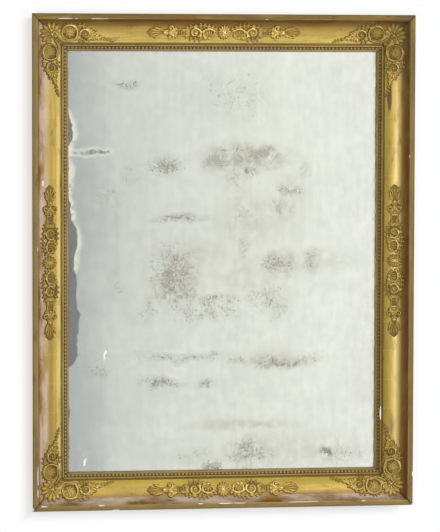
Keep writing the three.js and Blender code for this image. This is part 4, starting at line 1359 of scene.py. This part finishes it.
nail = rose_nail()
for number in BOARDS:
    low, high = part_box(f"back_board_{number}")
    heads = []
    for end in (-1, 1):
        for row in range(NAILS_PER_END):
            height = low.z + (high.z - low.z) * (NAIL_ROW_START + NAIL_ROW_PITCH * row)
            along = end * (high.x - NAIL_INSET + NAIL_STAGGER * ((row + number) % 2))
            turn = Matrix.Rotation(number + 2.1 * row, 4, "Y")
            heads.append(own_copy(nail, "head", Matrix.Translation((along, high.y, height)) @ turn))
    heads = join(heads)
    heads.name = f"board_{number}_nail_heads"
    heads.data.materials.append(iron.material)
    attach(heads, "frame")
bpy.data.objects.remove(nail)

# The glue blocks keep the shape of their nodes, and are bare pine.
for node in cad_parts:
    if "glue_block" in node:
        bpy.data.objects[node].material_slots[0].material = bare_pine

# ---- The hangers -------------------------------------------------------------------------------------------
# On the back of each stile a strip of iron is curled round the bar of a forged ring, and held by three slotted
# screws. The ring swings on its bar in the curl.
STRAP_LENGTH = 0.070
STRAP_WIDTH = 0.018
STRAP_THICKNESS = 0.0016
STRAP_POINT = 0.005
STRAP_ARRIS = 0.0003
EYE_RISE = 0.005
EYE_CURL = 305
EYE_FACETS = 22
WIRE_RADIUS = 0.0025
EYE_CLEARANCE = 0.0004
RING_HALF = 0.020
RING_CORNER = 0.005
RING_SIDE = 0.011
RING_CORNER_FACETS = 6
RING_FACETS = 28
SCREW_RADIUS = 0.0036
SCREW_DEPTH = 0.0012
SCREW_DOME = 0.0003
SCREW_SPOTS = (0.014, 0.034, 0.056)
SLOT_SIZE = (3 * SCREW_RADIUS, 0.0012, 0.0009)
SLOT_RISE = 0.0008
IRON_SMOOTH_ANGLE = math.radians(35)


def hanger_strap():
    """The strap, with the ring's bar at the origin and the stile behind it."""
    inner = WIRE_RADIUS + EYE_CLEARANCE
    outer = inner + STRAP_THICKNESS
    eye = Vector((-STRAP_WIDTH / 2, 0, 0))
    pen = Pen("strap", (eye.x, -EYE_RISE, -STRAP_LENGTH))
    pen.line((eye.x, -EYE_RISE, -0.001))
    pen.line((eye.x, -outer, 0))
    pen.turn(eye, EYE_CURL, EYE_FACETS)
    pen.line(eye + (pen.tip - eye) * inner / outer)
    pen.turn(eye, -EYE_CURL, EYE_FACETS)
    pen.line((eye.x, STRAP_THICKNESS - EYE_RISE, -0.003))
    pen.line((eye.x, STRAP_THICKNESS - EYE_RISE, -STRAP_LENGTH))
    pen.fill()
    bpy.ops.mesh.extrude_region_move(TRANSFORM_OT_translate={"value": (STRAP_WIDTH, 0, 0)})
    bpy.ops.mesh.select_all(action="SELECT")
    bpy.ops.mesh.normals_make_consistent(inside=False)
    strap = pen.piece
    # The foot of the strap is cut to a blunt point.
    for way in (-1, 1):
        bpy.ops.mesh.select_all(action="SELECT")
        foot = (way * STRAP_WIDTH / 2, 0, STRAP_POINT - STRAP_LENGTH)
        bpy.ops.mesh.bisect(plane_co=foot, plane_no=(way, 0, -1), use_fill=True, clear_outer=True)
    bpy.ops.object.mode_set(mode="OBJECT")
    applied(strap, "BEVEL", width=STRAP_ARRIS, segments=2, angle_limit=math.radians(50))
    bpy.ops.object.shade_smooth_by_angle(angle=IRON_SMOOTH_ANGLE)
    return strap


def slotted_screw():
    """A countersunk head, domed a little, with its slot on the X axis. The strap's face is at y = 0."""
    screw = begin(bpy.ops.mesh.primitive_cylinder_add, vertices=20, radius=SCREW_RADIUS, depth=SCREW_DEPTH)
    bpy.ops.transform.rotate(value=math.pi / 2, orient_axis="X", center_override=(0, 0, 0))
    pick(screw, "polygons", lambda face: face.normal.y > 0.9)
    bpy.ops.mesh.inset(thickness=SCREW_RADIUS * 0.3)
    bpy.ops.transform.translate(value=(0, SCREW_DOME, 0))
    bpy.ops.object.mode_set(mode="OBJECT")
    slot = begin(bpy.ops.mesh.primitive_cube_add, size=1)
    bpy.ops.transform.resize(value=SLOT_SIZE)
    bpy.ops.transform.translate(value=(0, SLOT_RISE, 0))
    bpy.ops.object.mode_set(mode="OBJECT")
    applied(screw, "BOOLEAN", operation="DIFFERENCE", object=slot)
    bpy.data.objects.remove(slot)
    bpy.ops.object.shade_smooth_by_angle(angle=IRON_SMOOTH_ANGLE)
    return screw


def hanger_ring():
    """The ring's line is drawn from the middle of its bar, made a round wire, and closed."""
    bar = RING_HALF - RING_CORNER
    low = -RING_CORNER - RING_SIDE
    pen = Pen("ring", (0, 0, 0), (0, 1, 0))
    pen.line((bar, 0, 0))
    pen.turn((bar, 0, -RING_CORNER), -90, RING_CORNER_FACETS)
    pen.line((RING_HALF, 0, low))
    pen.turn((0, 0, low), -180, RING_FACETS)
    pen.line((-RING_HALF, 0, -RING_CORNER))
    pen.turn((-bar, 0, -RING_CORNER), -90, RING_CORNER_FACETS)
    pen.line((0, 0, 0))
    bpy.ops.mesh.select_all(action="SELECT")
    bpy.ops.mesh.remove_doubles(threshold=SAME_PLACE)
    bpy.ops.object.mode_set(mode="OBJECT")
    take(pen.piece)
    bpy.ops.object.convert(target="CURVE")
    wire = bpy.context.object.data
    wire.bevel_depth = WIRE_RADIUS
    wire.bevel_resolution = 4
    bpy.ops.object.convert(target="MESH")
    bpy.ops.object.shade_smooth()
    return bpy.context.object


strap, screw, ring = hanger_strap(), slotted_screw(), hanger_ring()
for side, way in (("left", -1), ("right", 1)):
    low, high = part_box(f"{side}_hanger_ring")
    pivot = Matrix.Translation(((low.x + high.x) / 2, (low.y + high.y) / 2, high.z - WIRE_RADIUS))
    set_strap = own_copy(strap, f"{side}_iron_strap", pivot)
    set_ring = own_copy(ring, f"{side}_iron_ring", pivot)
    screws = []
    for number, spot in enumerate(SCREW_SPOTS):
        turn = Matrix.Rotation(way * (0.4 + 1.1 * number), 4, "Y")
        face = Matrix.Translation((0, STRAP_THICKNESS - EYE_RISE, -spot))
        screws.append(own_copy(screw, "screw", pivot @ face @ turn))
    screws = join(screws)
    screws.name = f"{side}_hanger_screws"
    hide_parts(f"{side}_hanger_strap")
    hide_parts(f"{side}_hanger_ring")
    for piece, body in ((set_strap, "frame"), (screws, "frame"), (set_ring, f"{side}_ring")):
        piece.data.materials.append(iron.material)
        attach(piece, body)
for pattern in (strap, screw, ring):
    bpy.data.objects.remove(pattern)
